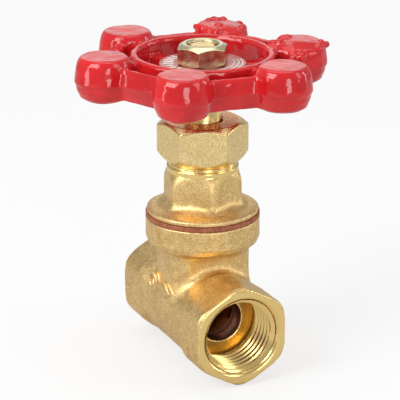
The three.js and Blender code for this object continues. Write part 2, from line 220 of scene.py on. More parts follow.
def fieldPiece(name, field, low, high, step, rough=None, machined=None, paintedShade=None):
    # rough gives how far each point is pushed by the mould's unevenness, machined where it is turned,
    # and the third marks where shade is painted dark brown, inside the chamber and the bores
    points, quads = fieldPoints(field, low, high, step)
    turnedShare = np.zeros(len(points)) if machined is None else machined(*points.T)
    paintedShadeShare = np.zeros(len(points)) if paintedShade is None else paintedShade(*points.T)
    if rough:
        slope = fieldSlope(field, points, step * 0.5)
        slope /= np.maximum(np.linalg.norm(slope, axis=1), 1e-6)[:, None]
        points += slope * (rough(points) * (1 - turnedShare))[:, None]
    mesh = bpy.data.meshes.new(name)
    mesh.from_pydata((points * mm).tolist(), [], quads.tolist())
    mesh.shade_smooth()
    for label, share in (("machined", turnedShare), ("paintedShade", paintedShadeShare)):
        mesh.attributes.new(label, "FLOAT", "POINT").data.foreach_set("value", share.astype(np.float32))
    return addObject(name, mesh)


def waviness(points, size, seed):
    # smooth unevenness between -1 and 1, the same each time
    shift = Vector((seed * 7.3, seed * 3.1, seed * 5.7))
    return np.array([noise.noise(Vector(p) / size + shift) for p in points])


def joinPieces(name, *pieces):
    # one object from several, with the first one's place and attributes
    with bpy.context.temp_override(active_object=pieces[0], selected_editable_objects=list(pieces)):
        bpy.ops.object.join()
    pieces[0].name = pieces[0].data.name = name
    return pieces[0]


# Geometry Nodes trees.

def treeNode(tree, kind, values=None, **settings):
    made = tree.nodes.new(kind)
    for key, value in settings.items():
        setattr(made, key, value)
    for key, value in (values or {}).items():
        socket = made.inputs[key]
        if isinstance(value, bpy.types.NodeSocket):
            tree.links.new(value, socket)
        else:
            socket.default_value = value
    return made


def startTree(name, inputs):
    tree = bpy.data.node_groups.new(name, "GeometryNodeTree")
    tree.interface.new_socket("Geometry", in_out="OUTPUT", socket_type="NodeSocketGeometry")
    for label, kind in inputs.items():
        tree.interface.new_socket(label, in_out="INPUT", socket_type="NodeSocket" + kind)
    return tree, tree.nodes.new("NodeGroupInput").outputs


def endTree(tree, geometry, material):
    real = treeNode(tree, "GeometryNodeRealizeInstances", {"Geometry": geometry})
    painted = treeNode(tree, "GeometryNodeSetMaterial", {"Geometry": real.outputs[0], "Material": material})
    tree.links.new(painted.outputs[0], tree.nodes.new("NodeGroupOutput").inputs[0])


def treeMath(tree, operation, a, b=0.0, c=0.0):
    return treeNode(tree, "ShaderNodeMath", {0: a, 1: b, 2: c}, operation=operation).outputs[0]


def treePiece(name, tree, values):
    holder = addObject(name + "Holder", bpy.data.meshes.new(name + "Holder"))
    modifier = holder.modifiers.new("build", "NODES")
    modifier.node_group = tree
    for item in tree.interface.items_tree:
        if item.in_out == "INPUT" and item.name in values:
            modifier[item.identifier] = values[item.name]
    graph = bpy.context.evaluated_depsgraph_get()
    mesh = bpy.data.meshes.new_from_object(holder.evaluated_get(graph), depsgraph=graph)
    bpy.data.objects.remove(holder)
    mesh.name = name
    return addObject(name, mesh)


def place(piece, matrix):
    piece.data.transform(matrix)
    return piece


# Shader node groups and materials.

def shaderGroup(name, inputs, outputs):
    tree = bpy.data.node_groups.new(name, "ShaderNodeTree")
    for label, (kind, value) in inputs.items():
        socket = tree.interface.new_socket(label, in_out="INPUT", socket_type="NodeSocket" + kind)
        if value is not None:
            socket.default_value = value
    for label, kind in outputs.items():
        tree.interface.new_socket(label, in_out="OUTPUT", socket_type="NodeSocket" + kind)
    return tree, tree.nodes.new("NodeGroupInput").outputs, tree.nodes.new("NodeGroupOutput").inputs


def noiseOf(tree, where, scale, detail=3.0, roughness=0.55):
    values = {"Vector": where, "Scale": scale, "Detail": detail, "Roughness": roughness}
    return treeNode(tree, "ShaderNodeTexNoise", values).outputs["Fac"]


def spread(tree, value, low, high, toLow=0.0, toHigh=1.0):
    values = {"Value": value, "From Min": low, "From Max": high, "To Min": toLow, "To Max": toHigh}
    return treeNode(tree, "ShaderNodeMapRange", values).outputs["Result"]


def mixColours(tree, share, a, b):
    return treeNode(tree, "ShaderNodeMix", {0: share, 6: a, 7: b}, data_type="RGBA").outputs[2]


def buildGrain():
    # the skin that a sand mould and shot blasting leave on a casting
    inputs = {"Where": ("Vector", None), "Grain Size": ("Float", 0.3), "Pit Size": ("Float", 1.2)}
    outputs = {"Height": "Float", "Mottle": "Float", "Speck": "Float"}
    tree, given, out = shaderGroup("castGrain", inputs, outputs)
    fineScale = treeMath(tree, "DIVIDE", 1000.0, given["Grain Size"])
    pitScale = treeMath(tree, "DIVIDE", 1000.0, given["Pit Size"])
    fine = noiseOf(tree, given["Where"], fineScale, 1.0, 0.6)
    pits = noiseOf(tree, given["Where"], pitScale, 3.0, 0.6)
    tree.links.new(treeMath(tree, "MULTIPLY_ADD", pits, 0.7, fine), out["Height"])
    wide = noiseOf(tree, given["Where"], treeMath(tree, "MULTIPLY", pitScale, 0.25), 3.0, 0.6)
    both = treeMath(tree, "ADD", treeMath(tree, "MULTIPLY", pits, 0.5), treeMath(tree, "MULTIPLY", wide, 0.5))
    tree.links.new(both, out["Mottle"])
    # the grains' bright tops and dark gaps
    tree.links.new(spread(tree, fine, 0.36, 0.66), out["Speck"])
    return tree


def buildTurnMarks():
    # fine lines round an axis, as a lathe tool leaves
    inputs = {"Where": ("Vector", None), "Line Width": ("Float", 0.12)}
    tree, given, out = shaderGroup("turnMarks", inputs, {"Height": "Float"})
    parts = treeNode(tree, "ShaderNodeSeparateXYZ", {0: given["Where"]}).outputs
    radius = treeMath(tree, "SQRT", treeMath(tree, "MULTIPLY_ADD", parts[0], parts[0],
                                             treeMath(tree, "MULTIPLY", parts[1], parts[1])))
    line = treeNode(tree, "ShaderNodeCombineXYZ", {0: radius, 1: parts[2]}).outputs[0]
    scale = treeMath(tree, "DIVIDE", 1000.0, given["Line Width"])
    tree.links.new(noiseOf(tree, line, scale, 2.0, 0.7), out["Height"])
    return tree


def buildEdgeWearAndHighlight():
    # 1 on outer edges, broken up so that it isn't a drawn line; it lightens edges as rubbed wear and as a
    # painted edge highlight
    inputs = {"Where": ("Vector", None), "Width": ("Float", 0.04), "Break Size": ("Float", 1.5)}
    tree, given, out = shaderGroup("edgeWearAndHighlight", inputs, {"Mask": "Float"})
    point = treeNode(tree, "ShaderNodeNewGeometry").outputs["Pointiness"]
    high = treeMath(tree, "ADD", 0.5, given["Width"])
    edge = spread(tree, point, 0.505, high)
    broken = noiseOf(tree, given["Where"], treeMath(tree, "DIVIDE", 1000.0, given["Break Size"]), 3.0)
    tree.links.new(treeMath(tree, "MULTIPLY", edge, spread(tree, broken, 0.35, 0.6)), out["Mask"])
    return tree


grainGroup, turnGroup, wearAndHighlightGroup = buildGrain(), buildTurnMarks(), buildEdgeWearAndHighlight()
print("shader groups built")


def startMaterial(name):
    material = bpy.data.materials.new(name)
    material.use_nodes = True
    tree = material.node_tree
    shader = tree.nodes["Principled BSDF"]
    where = treeNode(tree, "ShaderNodeTexCoord").outputs["Object"]
    return material, tree, shader, where


def useGroup(tree, group, values):
    return treeNode(tree, "ShaderNodeGroup", values, node_tree=group).outputs


def bumpOf(tree, height, distance, normal=None):
    values = {"Height": height, "Distance": distance * mm, "Strength": 1.0}
    if normal is not None:
        values["Normal"] = normal
    return treeNode(tree, "ShaderNodeBump", values).outputs["Normal"]


def feed(tree, shader, **links):
    names = {"colour": "Base Color", "roughness": "Roughness", "normal": "Normal", "metallic": "Metallic"}
    for key, value in links.items():
        tree.links.new(value, shader.inputs[names[key]])


castBrass = {
    "pale": (0.86, 0.62, 0.27, 1), "deep": (0.70, 0.45, 0.16, 1), "gap": (0.50, 0.30, 0.10, 1),
    # the colour for the edges is rubbed wear together with a painted edge highlight
    "tip": (0.98, 0.82, 0.48, 1), "wornAndHighlit": (0.95, 0.78, 0.44, 1), "cut": (0.90, 0.66, 0.26, 1),
    # the colour for the inside is painted shade, for the chamber and the bores
    "inside": (0.36, 0.15, 0.08, 1), "grain": 0.34, "pits": 1.8, "grainDepth": 0.07, "cutLines": 0.16,
    "cutDepth": 0.006, "cutRoughness": 0.22,
}


def buildCastBrass():
    # bare casting, brighter where the points are marked machined, with shade painted dark brown where they
    # are marked as the shaded inside
    material, tree, shader, where = startMaterial("castBrass")
    cast = useGroup(tree, grainGroup, {
        "Where": where, "Grain Size": castBrass["grain"], "Pit Size": castBrass["pits"]})
    wearAndHighlight = useGroup(tree, wearAndHighlightGroup, {"Where": where, "Width": 0.05})["Mask"]
    machined = treeNode(tree, "ShaderNodeAttribute", attribute_name="machined").outputs["Fac"]
    paintedShade = treeNode(tree, "ShaderNodeAttribute", attribute_name="paintedShade").outputs["Fac"]
    asCast = treeMath(tree, "SUBTRACT", 1.0, machined)
    skin = mixColours(tree, spread(tree, cast["Mottle"], 0.38, 0.6), castBrass["deep"], castBrass["pale"])
    skin = mixColours(tree, spread(tree, cast["Speck"], 0.5, 1.0, 0.0, 0.52), skin, castBrass["tip"])
    skin = mixColours(tree, spread(tree, cast["Speck"], 0.5, 0.0, 0.0, 0.52), skin, castBrass["gap"])
    # outer edges lighter: rubbed wear and a painted edge highlight
    skin = mixColours(tree, treeMath(tree, "MULTIPLY", wearAndHighlight, 0.5), skin, castBrass["wornAndHighlit"])
    colour = mixColours(tree, machined, skin, castBrass["cut"])
    # painted shade: the chamber and bores are coloured dark brown where the shade falls
    colour = mixColours(tree, paintedShade, colour, castBrass["inside"])
    castRough = spread(tree, cast["Mottle"], 0.35, 0.65, 0.36, 0.5)
    rough = treeMath(tree, "ADD", treeMath(tree, "MULTIPLY", castRough, asCast),
                     treeMath(tree, "MULTIPLY", machined, castBrass["cutRoughness"]))
    grain = bumpOf(tree, treeMath(tree, "MULTIPLY", cast["Height"], asCast), castBrass["grainDepth"])
    # the cuts run round the bore, so its axis stands in for Z
    parts = treeNode(tree, "ShaderNodeSeparateXYZ", {0: where}).outputs
    aboutBore = treeNode(tree, "ShaderNodeCombineXYZ", {0: parts[1], 1: parts[2], 2: parts[0]}).outputs[0]
    marks = useGroup(tree, turnGroup, {"Where": aboutBore, "Line Width": castBrass["cutLines"]})["Height"]
    cuts = bumpOf(tree, treeMath(tree, "MULTIPLY", marks, machined), castBrass["cutDepth"], grain)
    shader.inputs["Metallic"].default_value = 1.0
    feed(tree, shader, colour=colour, roughness=rough, normal=cuts)
    return material


turnedBrass = {
    "base": (0.94, 0.72, 0.32, 1), "dull": (0.84, 0.62, 0.26, 1), "tip": (0.99, 0.86, 0.56, 1),
    "gap": (0.60, 0.40, 0.14, 1), "lines": 0.1, "lineDepth": 0.008, "grain": 0.36, "pits": 1.4,
    "grainDepth": 0.02,
}


def buildTurnedBrass():
    # bright bar stock: lathe lines round the axis, and a faint speckle
    material, tree, shader, where = startMaterial("turnedBrass")
    marks = useGroup(tree, turnGroup, {"Where": where, "Line Width": turnedBrass["lines"]})["Height"]
    skin = useGroup(tree, grainGroup, {
        "Where": where, "Grain Size": turnedBrass["grain"], "Pit Size": turnedBrass["pits"]})
    patch = spread(tree, skin["Mottle"], 0.38, 0.62)
    colour = mixColours(tree, patch, turnedBrass["dull"], turnedBrass["base"])
    colour = mixColours(tree, spread(tree, skin["Speck"], 0.55, 1.0, 0.0, 0.6), colour, turnedBrass["tip"])
    colour = mixColours(tree, spread(tree, skin["Speck"], 0.45, 0.0, 0.0, 0.6), colour, turnedBrass["gap"])
    rough = spread(tree, skin["Mottle"], 0.35, 0.65, 0.2, 0.32)
    lines = bumpOf(tree, marks, turnedBrass["lineDepth"])
    normal = bumpOf(tree, skin["Height"], turnedBrass["grainDepth"], lines)
    shader.inputs["Metallic"].default_value = 1.0
    feed(tree, shader, colour=colour, roughness=rough, normal=normal)
    return material


redPaint = {"base": (0.64, 0.016, 0.019, 1), "thin": (0.50, 0.010, 0.013, 1), "lumps": 4.2, "depth": 0.42,
            "orangePeel": 0.05}


def buildRedPaint():
    # thick glossy paint that runs and gathers a little
    material, tree, shader, where = startMaterial("redPaint")
    drift = noiseOf(tree, where, 110.0, 3.0)
    colour = mixColours(tree, spread(tree, drift, 0.35, 0.65), redPaint["thin"], redPaint["base"])
    gather = noiseOf(tree, where, 1000.0 / redPaint["lumps"], 1.0, 0.5)
    fine = noiseOf(tree, where, 1500.0, 2.0, 0.5)
    height = treeMath(tree, "MULTIPLY_ADD", fine, redPaint["orangePeel"], gather)
    rough = spread(tree, noiseOf(tree, where, 240.0, 3.0), 0.3, 0.7, 0.06, 0.13)
    shader.inputs["Specular IOR Level"].default_value = 0.5
    feed(tree, shader, colour=colour, roughness=rough, normal=bumpOf(tree, height, redPaint["depth"]))
    return material


# plain finishes: two colours that a fine grain mixes
grainy = {
    "gasketFibre": {"deep": (0.20, 0.05, 0.022, 1), "pale": (0.42, 0.14, 0.06, 1), "grain": 0.25, "pits": 0.8,
                    "depth": 0.05, "spread": (0.35, 0.65), "roughness": 0.7, "metallic": 0.0},
    # the name plate's red tint is a painted reflection of the red handwheel in the metal
    "plateMetalRedReflection": {"deep": (0.40, 0.12, 0.10, 1), "pale": (0.60, 0.28, 0.24, 1), "grain": 0.2, "pits": 2.0,
                   "depth": 0.012, "spread": (0.35, 0.65), "roughness": 0.3, "metallic": 0.7},
    "graphite": {"deep": (0.03, 0.03, 0.032, 1), "pale": (0.10, 0.10, 0.105, 1), "grain": 0.15, "pits": 0.6,
                 "depth": 0.03, "spread": (0.0, 1.0), "roughness": 0.48, "metallic": 0.3},
}


def buildGrainy(name):
    look = grainy[name]
    material, tree, shader, where = startMaterial(name)
    skin = useGroup(tree, grainGroup, {"Where": where, "Grain Size": look["grain"], "Pit Size": look["pits"]})
    colour = mixColours(tree, spread(tree, skin["Mottle"], *look["spread"]), look["deep"], look["pale"])
    shader.inputs["Metallic"].default_value = look["metallic"]
    shader.inputs["Roughness"].default_value = look["roughness"]
    feed(tree, shader, colour=colour, normal=bumpOf(tree, skin["Height"], look["depth"]))
    return material


zincPlate = {"yellow": (0.78, 0.64, 0.36, 1), "green": (0.70, 0.70, 0.50, 1), "lines": 0.2, "lineDepth": 0.01}


def buildZincPlate():
    # zinc with a yellow passivation that drifts a little towards green
    material, tree, shader, where = startMaterial("zincPlate")
    drift = noiseOf(tree, where, 260.0, 3.0)
    colour = mixColours(tree, spread(tree, drift, 0.35, 0.65), zincPlate["yellow"], zincPlate["green"])
    marks = useGroup(tree, turnGroup, {"Where": where, "Line Width": zincPlate["lines"]})["Height"]
    rough = spread(tree, noiseOf(tree, where, 500.0, 4.0), 0.3, 0.7, 0.2, 0.34)
    shader.inputs["Metallic"].default_value = 1.0
    feed(tree, shader, colour=colour, roughness=rough, normal=bumpOf(tree, marks, zincPlate["lineDepth"]))
    return material


plateInk = {"full": (0.93, 0.90, 0.87, 1), "thin": (0.74, 0.64, 0.62, 1), "roughness": 0.4}


def buildPlateInk():
    # pale print on the name plate, worn thin in places
    material, tree, shader, where = startMaterial("plateInk")
    thin = spread(tree, noiseOf(tree, where, 900.0, 3.0), 0.4, 0.6)
    shader.inputs["Roughness"].default_value = plateInk["roughness"]
    feed(tree, shader, colour=mixColours(tree, thin, plateInk["full"], plateInk["thin"]))
    return material


castBrassMaterial, turnedBrassMaterial = buildCastBrass(), buildTurnedBrass()
redPaintMaterial, zincMaterial, inkMaterial = buildRedPaint(), buildZincPlate(), buildPlateInk()
gasketMaterial, plateRedReflectionMaterial, graphiteMaterial = (buildGrainy(name) for name in grainy)
print("materials built")


# Screw threads, wound as ridges on a plain rod or in a plain bore.

rootShare = 0.86  # how much of the pitch the ridge's foot takes
thinEnd = 0.02  # what is left of the ridge at its very ends


def buildThreadTree():
    # a ridge that winds round Z and thins out at both ends
    tree, given = startTree("screwThread", {
        "Root Radius": "Float", "Depth": "Float", "Root Width": "Float", "Crest Width": "Float",
        "Pitch": "Float", "Turns": "Float", "Steps": "Int", "Left Hand": "Bool", "Fade": "Float",
        "Lean": "Float", "Material": "Material",
    })
    spiral = treeNode(tree, "GeometryNodeCurveSpiral", {
        "Resolution": given["Steps"], "Rotations": given["Turns"],
        "Start Radius": given["Root Radius"], "End Radius": given["Root Radius"],
        "Height": treeMath(tree, "MULTIPLY", given["Pitch"], given["Turns"]),
        "Reverse": given["Left Hand"],
    })
    upright = treeNode(tree, "GeometryNodeSetCurveNormal", {"Curve": spiral.outputs[0]}, mode="Z_UP")
    along = treeNode(tree, "GeometryNodeSplineParameter").outputs["Factor"]
    toEnd = treeMath(tree, "MINIMUM", along, treeMath(tree, "SUBTRACT", 1.0, along))
    growth = treeMath(tree, "ADD", thinEnd, treeMath(tree, "DIVIDE", toEnd, given["Fade"]))
    ridge = treeNode(tree, "GeometryNodeCurvePrimitiveQuadrilateral", {
        "Bottom Width": given["Root Width"], "Top Width": given["Crest Width"], "Height": given["Depth"],
        "Offset": 0.0,
    }, mode="TRAPEZOID")
    # the ridge's foot lies on the spiral
    halfDepth = treeMath(tree, "MULTIPLY", given["Depth"], 0.5)
    lift = treeNode(tree, "ShaderNodeCombineXYZ", {1: halfDepth}).outputs[0]
    lifted = treeNode(tree, "GeometryNodeTransform", {"Geometry": ridge.outputs[0], "Translation": lift})
    lean = treeNode(tree, "ShaderNodeCombineXYZ", {2: given["Lean"]}).outputs[0]
    turned = treeNode(tree, "GeometryNodeTransform", {"Geometry": lifted.outputs[0], "Rotation": lean})
    swept = treeNode(tree, "GeometryNodeCurveToMesh", {
        "Curve": upright.outputs[0], "Profile Curve": turned.outputs[0], "Fill Caps": True,
        "Scale": treeMath(tree, "MINIMUM", 1.0, growth),
    })
    endTree(tree, swept.outputs[0], given["Material"])
    return tree


threadTree = buildThreadTree()


def threadPiece(name, size, material):
    # crest is a share of the pitch, fade the share of the length in which the ridge grows
    piece = treePiece(name, threadTree, {
        "Root Radius": size["root"] * mm, "Depth": size["depth"] * mm, "Pitch": size["pitch"] * mm,
        "Root Width": size["pitch"] * rootShare * mm, "Crest Width": size["pitch"] * size["crest"] * mm,
        "Turns": size["length"] / size["pitch"], "Steps": size["steps"], "Fade": size["fade"],
        "Left Hand": size.get("leftHand", False), "Material": material,
        "Lean": math.pi / 2 * (-1 if size.get("inward", False) else 1),
    })
    piece.data.set_sharp_from_angle(angle=math.radians(35))
    return piece


# The body casting.

body = {
    "flats": 26.0, "corner": 14.2, "halfLength": bodyHigh[0], "barrel": 13.1, "barrelEnd": 10.6,
    "hexFrom": 15.4, "hexSoft": 0.4, "faceRadius": 13.3, "faceChamfer": 0.8,
    "neckWidth": 23.7, "neckThick": 17.8, "neckCorner": 5.0, "neckFillet": 2.6,
    "bellRadius": 15.8, "bellBottom": 19.4, "bellTop": bodyHigh[2], "bellFillet": 2.4,
    "chamberHalf": 7.2, "chamberRadius": 9.6, "coverBore": 12.9, "coverFloor": 21.2,
    "ribHalf": 1.2, "ribFrom": 8.0, "ribTo": 12.0, "ribLow": -6.0, "ribHigh": 17.5,
    "seatRadius": 8.4, "seatBore": 6.0, "seatHalf": 6.0, "seatSlope": math.tan(math.radians(5)),
    "portRoot": 10.5, "mouth": 11.4, "portFloor": 12.4, "uneven": 0.07, "seed": 1, "step": 0.4,
}

mark = {"x": -2.2, "z": 7.4, "face": 13.1, "back": 10.0, "ringAt": 3.6, "ring": 2.4, "ringHalf": 0.65,
        "shaftFrom": 0.2, "shaftTo": 6.6, "shaftHalf": 0.7, "headFrom": 5.0, "tip": 8.4}


def raisedMark(x, y, z):
    # a ring and an arrow in low relief, on the side of the neck towards -Y
    m = mark
    along, up = x - m["x"], z - m["z"]
    ring = np.abs(np.hypot(along + m["ringAt"], up) - m["ring"]) - m["ringHalf"]
    shaft = block(along, up, y * 0, (m["shaftFrom"], -m["shaftHalf"], -1),
                  (m["shaftTo"], m["shaftHalf"], 1), 0.2)
    head = softMax(np.abs(up) * 0.8 + (along - m["tip"]) * 0.6, m["headFrom"] - along, 0.2)
    shape = softMin(softMin(ring, shaft, 0.2), head, 0.3)
    return softMax(shape, softMax(-m["face"] - y, y + m["back"], 0.2), 0.25)


def bodyField(x, y, z):
    b = body
    half, ax = b["halfLength"], np.abs(x)
    reach = np.hypot(y, z)
    hexEnd = hexagon(z, y, b["flats"], 0.0, b["hexSoft"])
    limit = outlineField(reach, ax, [
        (core, -3), (b["barrel"], -3), (b["barrel"], b["barrelEnd"]), (b["corner"], b["hexFrom"]),
        (b["corner"], half - b["faceChamfer"]), (b["faceRadius"], half), (core, half)], 0.25)
    ends = softMax(hexEnd, limit, 0.5)
    neck = softMax(roundedOblong(x, y, b["neckThick"] / 2, b["neckWidth"] / 2, b["neckCorner"]),
                   slab(z, 0, b["bellBottom"] + 2), 0.3)
    bell = turnedField(x, y, z, [
        (core, b["bellBottom"] - 1.0), (10.5, b["bellBottom"] - 1.0), (13.2, b["bellBottom"] - 0.1),
        (15.1, b["bellBottom"] + 0.7), (b["bellRadius"], b["bellBottom"] + 2.2),
        (b["bellRadius"], b["bellTop"]), (core, b["bellTop"])], 0.25)
    outside = softMin(softMin(ends, neck, b["neckFillet"]), bell, b["bellFillet"])
    outside = softMin(outside, raisedMark(x, y, z), 0.35)
    # the chamber that the gate moves in, with its seats and guide ribs
    low = np.hypot(y, np.minimum(z, 0)) - b["chamberRadius"]
    chamber = softMax(softMax(low, ax - b["chamberHalf"], 0.8), z - b["coverFloor"] - 1, 0.3)
    face = ax - (b["seatHalf"] + z * b["seatSlope"])
    seat = softMax(reach - b["seatRadius"], -face, 0.25)
    rib = block(x, np.abs(y), z, (-b["ribHalf"], b["ribFrom"], b["ribLow"]),
                (b["ribHalf"], b["ribTo"], b["ribHigh"]), 0.3)
    chamber = cut(cut(chamber, seat, 0.3), rib, 0.3)
    cover = softMax(np.hypot(x, y) - b["coverBore"], b["coverFloor"] - z, 0.3)
    port = outlineField(reach, ax, [
        (core, -1), (b["seatBore"] + 0.5, -1), (b["seatBore"] + 0.3, b["seatHalf"] + 2),
        (b["seatBore"], b["portFloor"] - 1), (b["seatBore"], b["portFloor"]), (b["portRoot"], b["portFloor"]),
        (b["portRoot"], half - 0.9), (b["mouth"], half), (b["mouth"] + 1.5, half + 1.5), (core, half + 1.5)])
    return cut(cut(cut(outside, chamber, 0.35), cover, 0.3), port, 0.28)


def bodyMachined(x, y, z):
    # each test reaches a little past the face that was cut
    reach, ax = np.hypot(y, z), np.abs(x)
    port = (reach < body["mouth"] + 0.15) & (ax > body["portFloor"] - 0.2)
    seat = (ax < 10) & (reach < 8.3) & (np.abs(ax - body["seatHalf"]) > 0.9)
    face = ax > body["halfLength"] - 0.12
    top = z > body["bellTop"] - 0.12
    inside = (np.hypot(x, y) < body["coverBore"] + 0.2) & (z > body["coverFloor"] - 0.2)
    return (port | seat | face | top | inside).astype(float)


def bodyPaintedShade(x, y, z):
    # where shade is painted: the gate's chamber and the bores into it
    reach, ax = np.hypot(y, z), np.abs(x)
    chamber = (ax < body["chamberHalf"] + 0.3) & (np.hypot(y, np.minimum(z, 0)) < body["chamberRadius"] + 0.4)
    bore = (reach < body["seatBore"] + 0.7) & (ax < body["portFloor"] - 0.1)
    return ((chamber & (z < body["coverFloor"])) | bore).astype(float)


def castUnevenness(amount, seed, wide=5.0, fine=1.7):
    return lambda points: amount * (waviness(points, wide, seed) + 0.5 * waviness(points, fine, seed + 1))


def openMouth(thread):
    # trims the thread's ridge to the cone of the port's mouth
    mesh = thread.data
    where = np.empty(len(mesh.vertices) * 3, np.float32)
    mesh.vertices.foreach_get("co", where)
    where = where.reshape(-1, 3).astype(float) / mm
    lip, buried, coneDepth = 0.15, 0.3, 0.95
    inside = body["halfLength"] - lip
    where[:, 0] = np.clip(where[:, 0], -inside, inside)
    depth = body["halfLength"] - np.abs(where[:, 0])
    reach = np.hypot(where[:, 1], where[:, 2])
    cone = body["mouth"] - depth + np.where(depth < coneDepth, buried, 0)
    where[:, 1:] *= (np.maximum(reach, cone) / reach)[:, None]
    mesh.vertices.foreach_set("co", (where * mm).astype(np.float32).ravel())
    mesh.update()


def markMachined(piece):
    for label, share in (("machined", 1.0), ("paintedShade", 0.0)):
        values = np.full(len(piece.data.vertices), share, np.float32)
        piece.data.attributes.new(label, "FLOAT", "POINT").data.foreach_set("value", values)


portThread = {"root": body["portRoot"] + 0.06, "depth": 1.24, "inward": True, "pitch": 1.814, "crest": 0.14,
              "steps": 64, "fade": 0.03, "fromFloor": 1.1, "fromFace": 0.5}


def buildBody():
    casting = fieldPiece("valveBody", bodyField, bodyLow, bodyHigh, body["step"],
                         castUnevenness(body["uneven"], body["seed"]), bodyMachined, bodyPaintedShade)
    casting.data.materials.append(castBrassMaterial)
    start, end = body["portFloor"] + portThread["fromFloor"], body["halfLength"] - portThread["fromFace"]
    threads = []
    for turn in (0, math.pi):
        thread = threadPiece("portThread", {**portThread, "length": end - start}, castBrassMaterial)
        place(thread, Matrix.Translation((start * mm, 0, 0)) @ Matrix.Rotation(math.pi / 2, 4, "Y"))
        openMouth(place(thread, Matrix.Rotation(turn, 4, "Z")))
        markMachined(thread)
        threads.append(thread)
    return joinPieces("valveBody", casting, *threads)


valveBody = buildBody()
print("body built", len(valveBody.data.polygons))


# The bonnet casting.

bonnet = {
    "skirt": 12.0, "skirtBore": 9.4, "foot": bonnetLow[2] + 6.9, "flange": 15.4, "flangeTop": 30.0,
    "hexCorner": 11.4, "hexTurn": -10.0, "hexTop": 36.9, "shoulder": 40.3, "ring": 9.9, "ringTop": 41.9,
    "neck": 9.4, "neckTop": 43.0, "screw": 8.0, "screwFrom": 44.0, "cutFrom": 40.25,
    "bore": 6.4, "shaftBore": 5.4, "boxBore": 7.0, "boxFloor": 34.5, "uneven": 0.1, "seed": 5, "step": 0.3,
}


def bonnetField(x, y, z):
    b = bonnet
    foot, top = b["foot"], bonnetHigh[2]
    low = turnedField(x, y, z, [
        (core, bonnetLow[2]), (b["skirt"], bonnetLow[2]), (b["skirt"], foot), (b["flange"], foot),
        (b["flange"], b["flangeTop"] - 0.35), (b["flange"] - 0.9, b["flangeTop"] + 0.05),
        (12.6, b["flangeTop"] + 0.55), (10.9, b["flangeTop"] + 1.5), (9.2, b["flangeTop"] + 2.4),
        (core, b["flangeTop"] + 2.4)], 0.22)
    hexSides = hexagon(x, y, b["hexCorner"] * math.sqrt(3), b["hexTurn"], 1.1)
    dome = turnedField(x, y, z, [
        (core, foot), (b["hexCorner"] + 0.3, foot), (b["hexCorner"] + 0.3, b["hexTop"]), (11.1, 38.6),
        (10.5, 39.6), (9.95, b["shoulder"]), (core, b["shoulder"])], 0.2)
    hexPart = softMax(softMax(hexSides, dome, 1.0), foot + 0.5 - z, 0.3)
    upper = turnedField(x, y, z, [
        (core, 38), (b["ring"], 38), (b["ring"], b["ringTop"]), (b["neck"], 42.2), (b["neck"], b["neckTop"]),
        (b["screw"], 43.05), (b["screw"], top), (core, top)], 0.12)
    whole = softMin(softMin(low, hexPart, 1.5), upper, 0.35)
    hollow = turnedField(x, y, z, [
        (core, bonnetLow[2] - 2), (b["skirtBore"], bonnetLow[2] - 2), (b["skirtBore"], 25), (b["bore"], 28),
        (b["bore"], b["boxFloor"] - 2.1), (b["shaftBore"], b["boxFloor"] - 1.5),
        (b["shaftBore"], b["boxFloor"]), (b["boxBore"], b["boxFloor"]), (b["boxBore"], top + 2),
        (core, top + 2)])
    return cut(whole, hollow, 0.25)


def bonnetMachined(x, y, z):
    # the neck, the stuffing box and its bottom, the skirt and the bore
    reach = np.hypot(x, y)
    stuffingBox = (reach < bonnet["neck"] + 0.2) & (z > bonnet["boxFloor"] - 1.5)
    skirt, bore = z < bonnet["foot"] + 0.1, reach < bonnet["boxBore"] + 0.5
    return ((z > bonnet["cutFrom"]) | stuffingBox | skirt | bore).astype(float)


fineThread = {"pitch": 1.5, "depth": 0.52, "nutDepth": 0.26, "sunk": 0.03, "crest": 0.16, "steps": 72,
              "fade": 0.06}


def fineThreadPiece(name, material, radius, low, high, inward=False):
    # the bonnet's screwed joints, with the ridges sunk a little in the wall they stand on
    t = fineThread
    root, depth = (radius + t["sunk"], t["nutDepth"]) if inward else (radius - t["sunk"], t["depth"])
    size = {**t, "root": root, "length": high - low, "inward": inward, "depth": depth}
    return place(threadPiece(name, size, material), Matrix.Translation((0, 0, low * mm)))


def buildBonnet():
    casting = fieldPiece("bonnetCasting", bonnetField, bonnetLow, bonnetHigh, bonnet["step"],
                         castUnevenness(bonnet["uneven"], bonnet["seed"]), bonnetMachined)
    casting.data.materials.append(castBrassMaterial)
    skirt = fineThreadPiece("skirtThread", castBrassMaterial, bonnet["skirt"], bonnetLow[2] + 1.1,
                            bonnet["foot"] - 0.9)
    neck = fineThreadPiece("neckThread", castBrassMaterial, bonnet["screw"], bonnet["screwFrom"],
                           bonnetHigh[2] - 1.0)
    markMachined(skirt)
    markMachined(neck)
    return joinPieces("bonnetCasting", casting, skirt, neck)


bonnetCasting = buildBonnet()
print("bonnet built", len(bonnetCasting.data.polygons))


# The packing nut.

packingNut = {"flats": 22.0, "turn": -53.0, "corner": 0.28, "bore": 8.8, "plate": 2.8, "hole": 5.5,
              "foot": 9.9, "top": 10.2, "step": 0.19}


def packingNutField(x, y, z):
    n = packingNut
    bottom, top = nutLow[2], nutHigh[2]
    cornerR = n["flats"] / math.sqrt(3)
    sides = hexagon(x, y, n["flats"], n["turn"], n["corner"] * 2)
    chamfers = turnedField(x, y, z, [
        (core, bottom), (n["foot"], bottom), (cornerR + 0.3, bottom + 3.0), (cornerR + 0.3, top - 1.52),
        (n["top"], top), (core, top)], 0.12)
    hollow = turnedField(x, y, z, [
        (core, bottom - 2), (n["bore"], bottom - 2), (n["bore"], top - n["plate"]),
        (n["hole"], top - n["plate"]), (n["hole"], top - 0.35), (n["hole"] + 0.9, top + 0.6),
        (n["hole"] + 0.9, top + 2), (core, top + 2)])
    return cut(softMax(sides, chamfers, 0.22), hollow, 0.15)


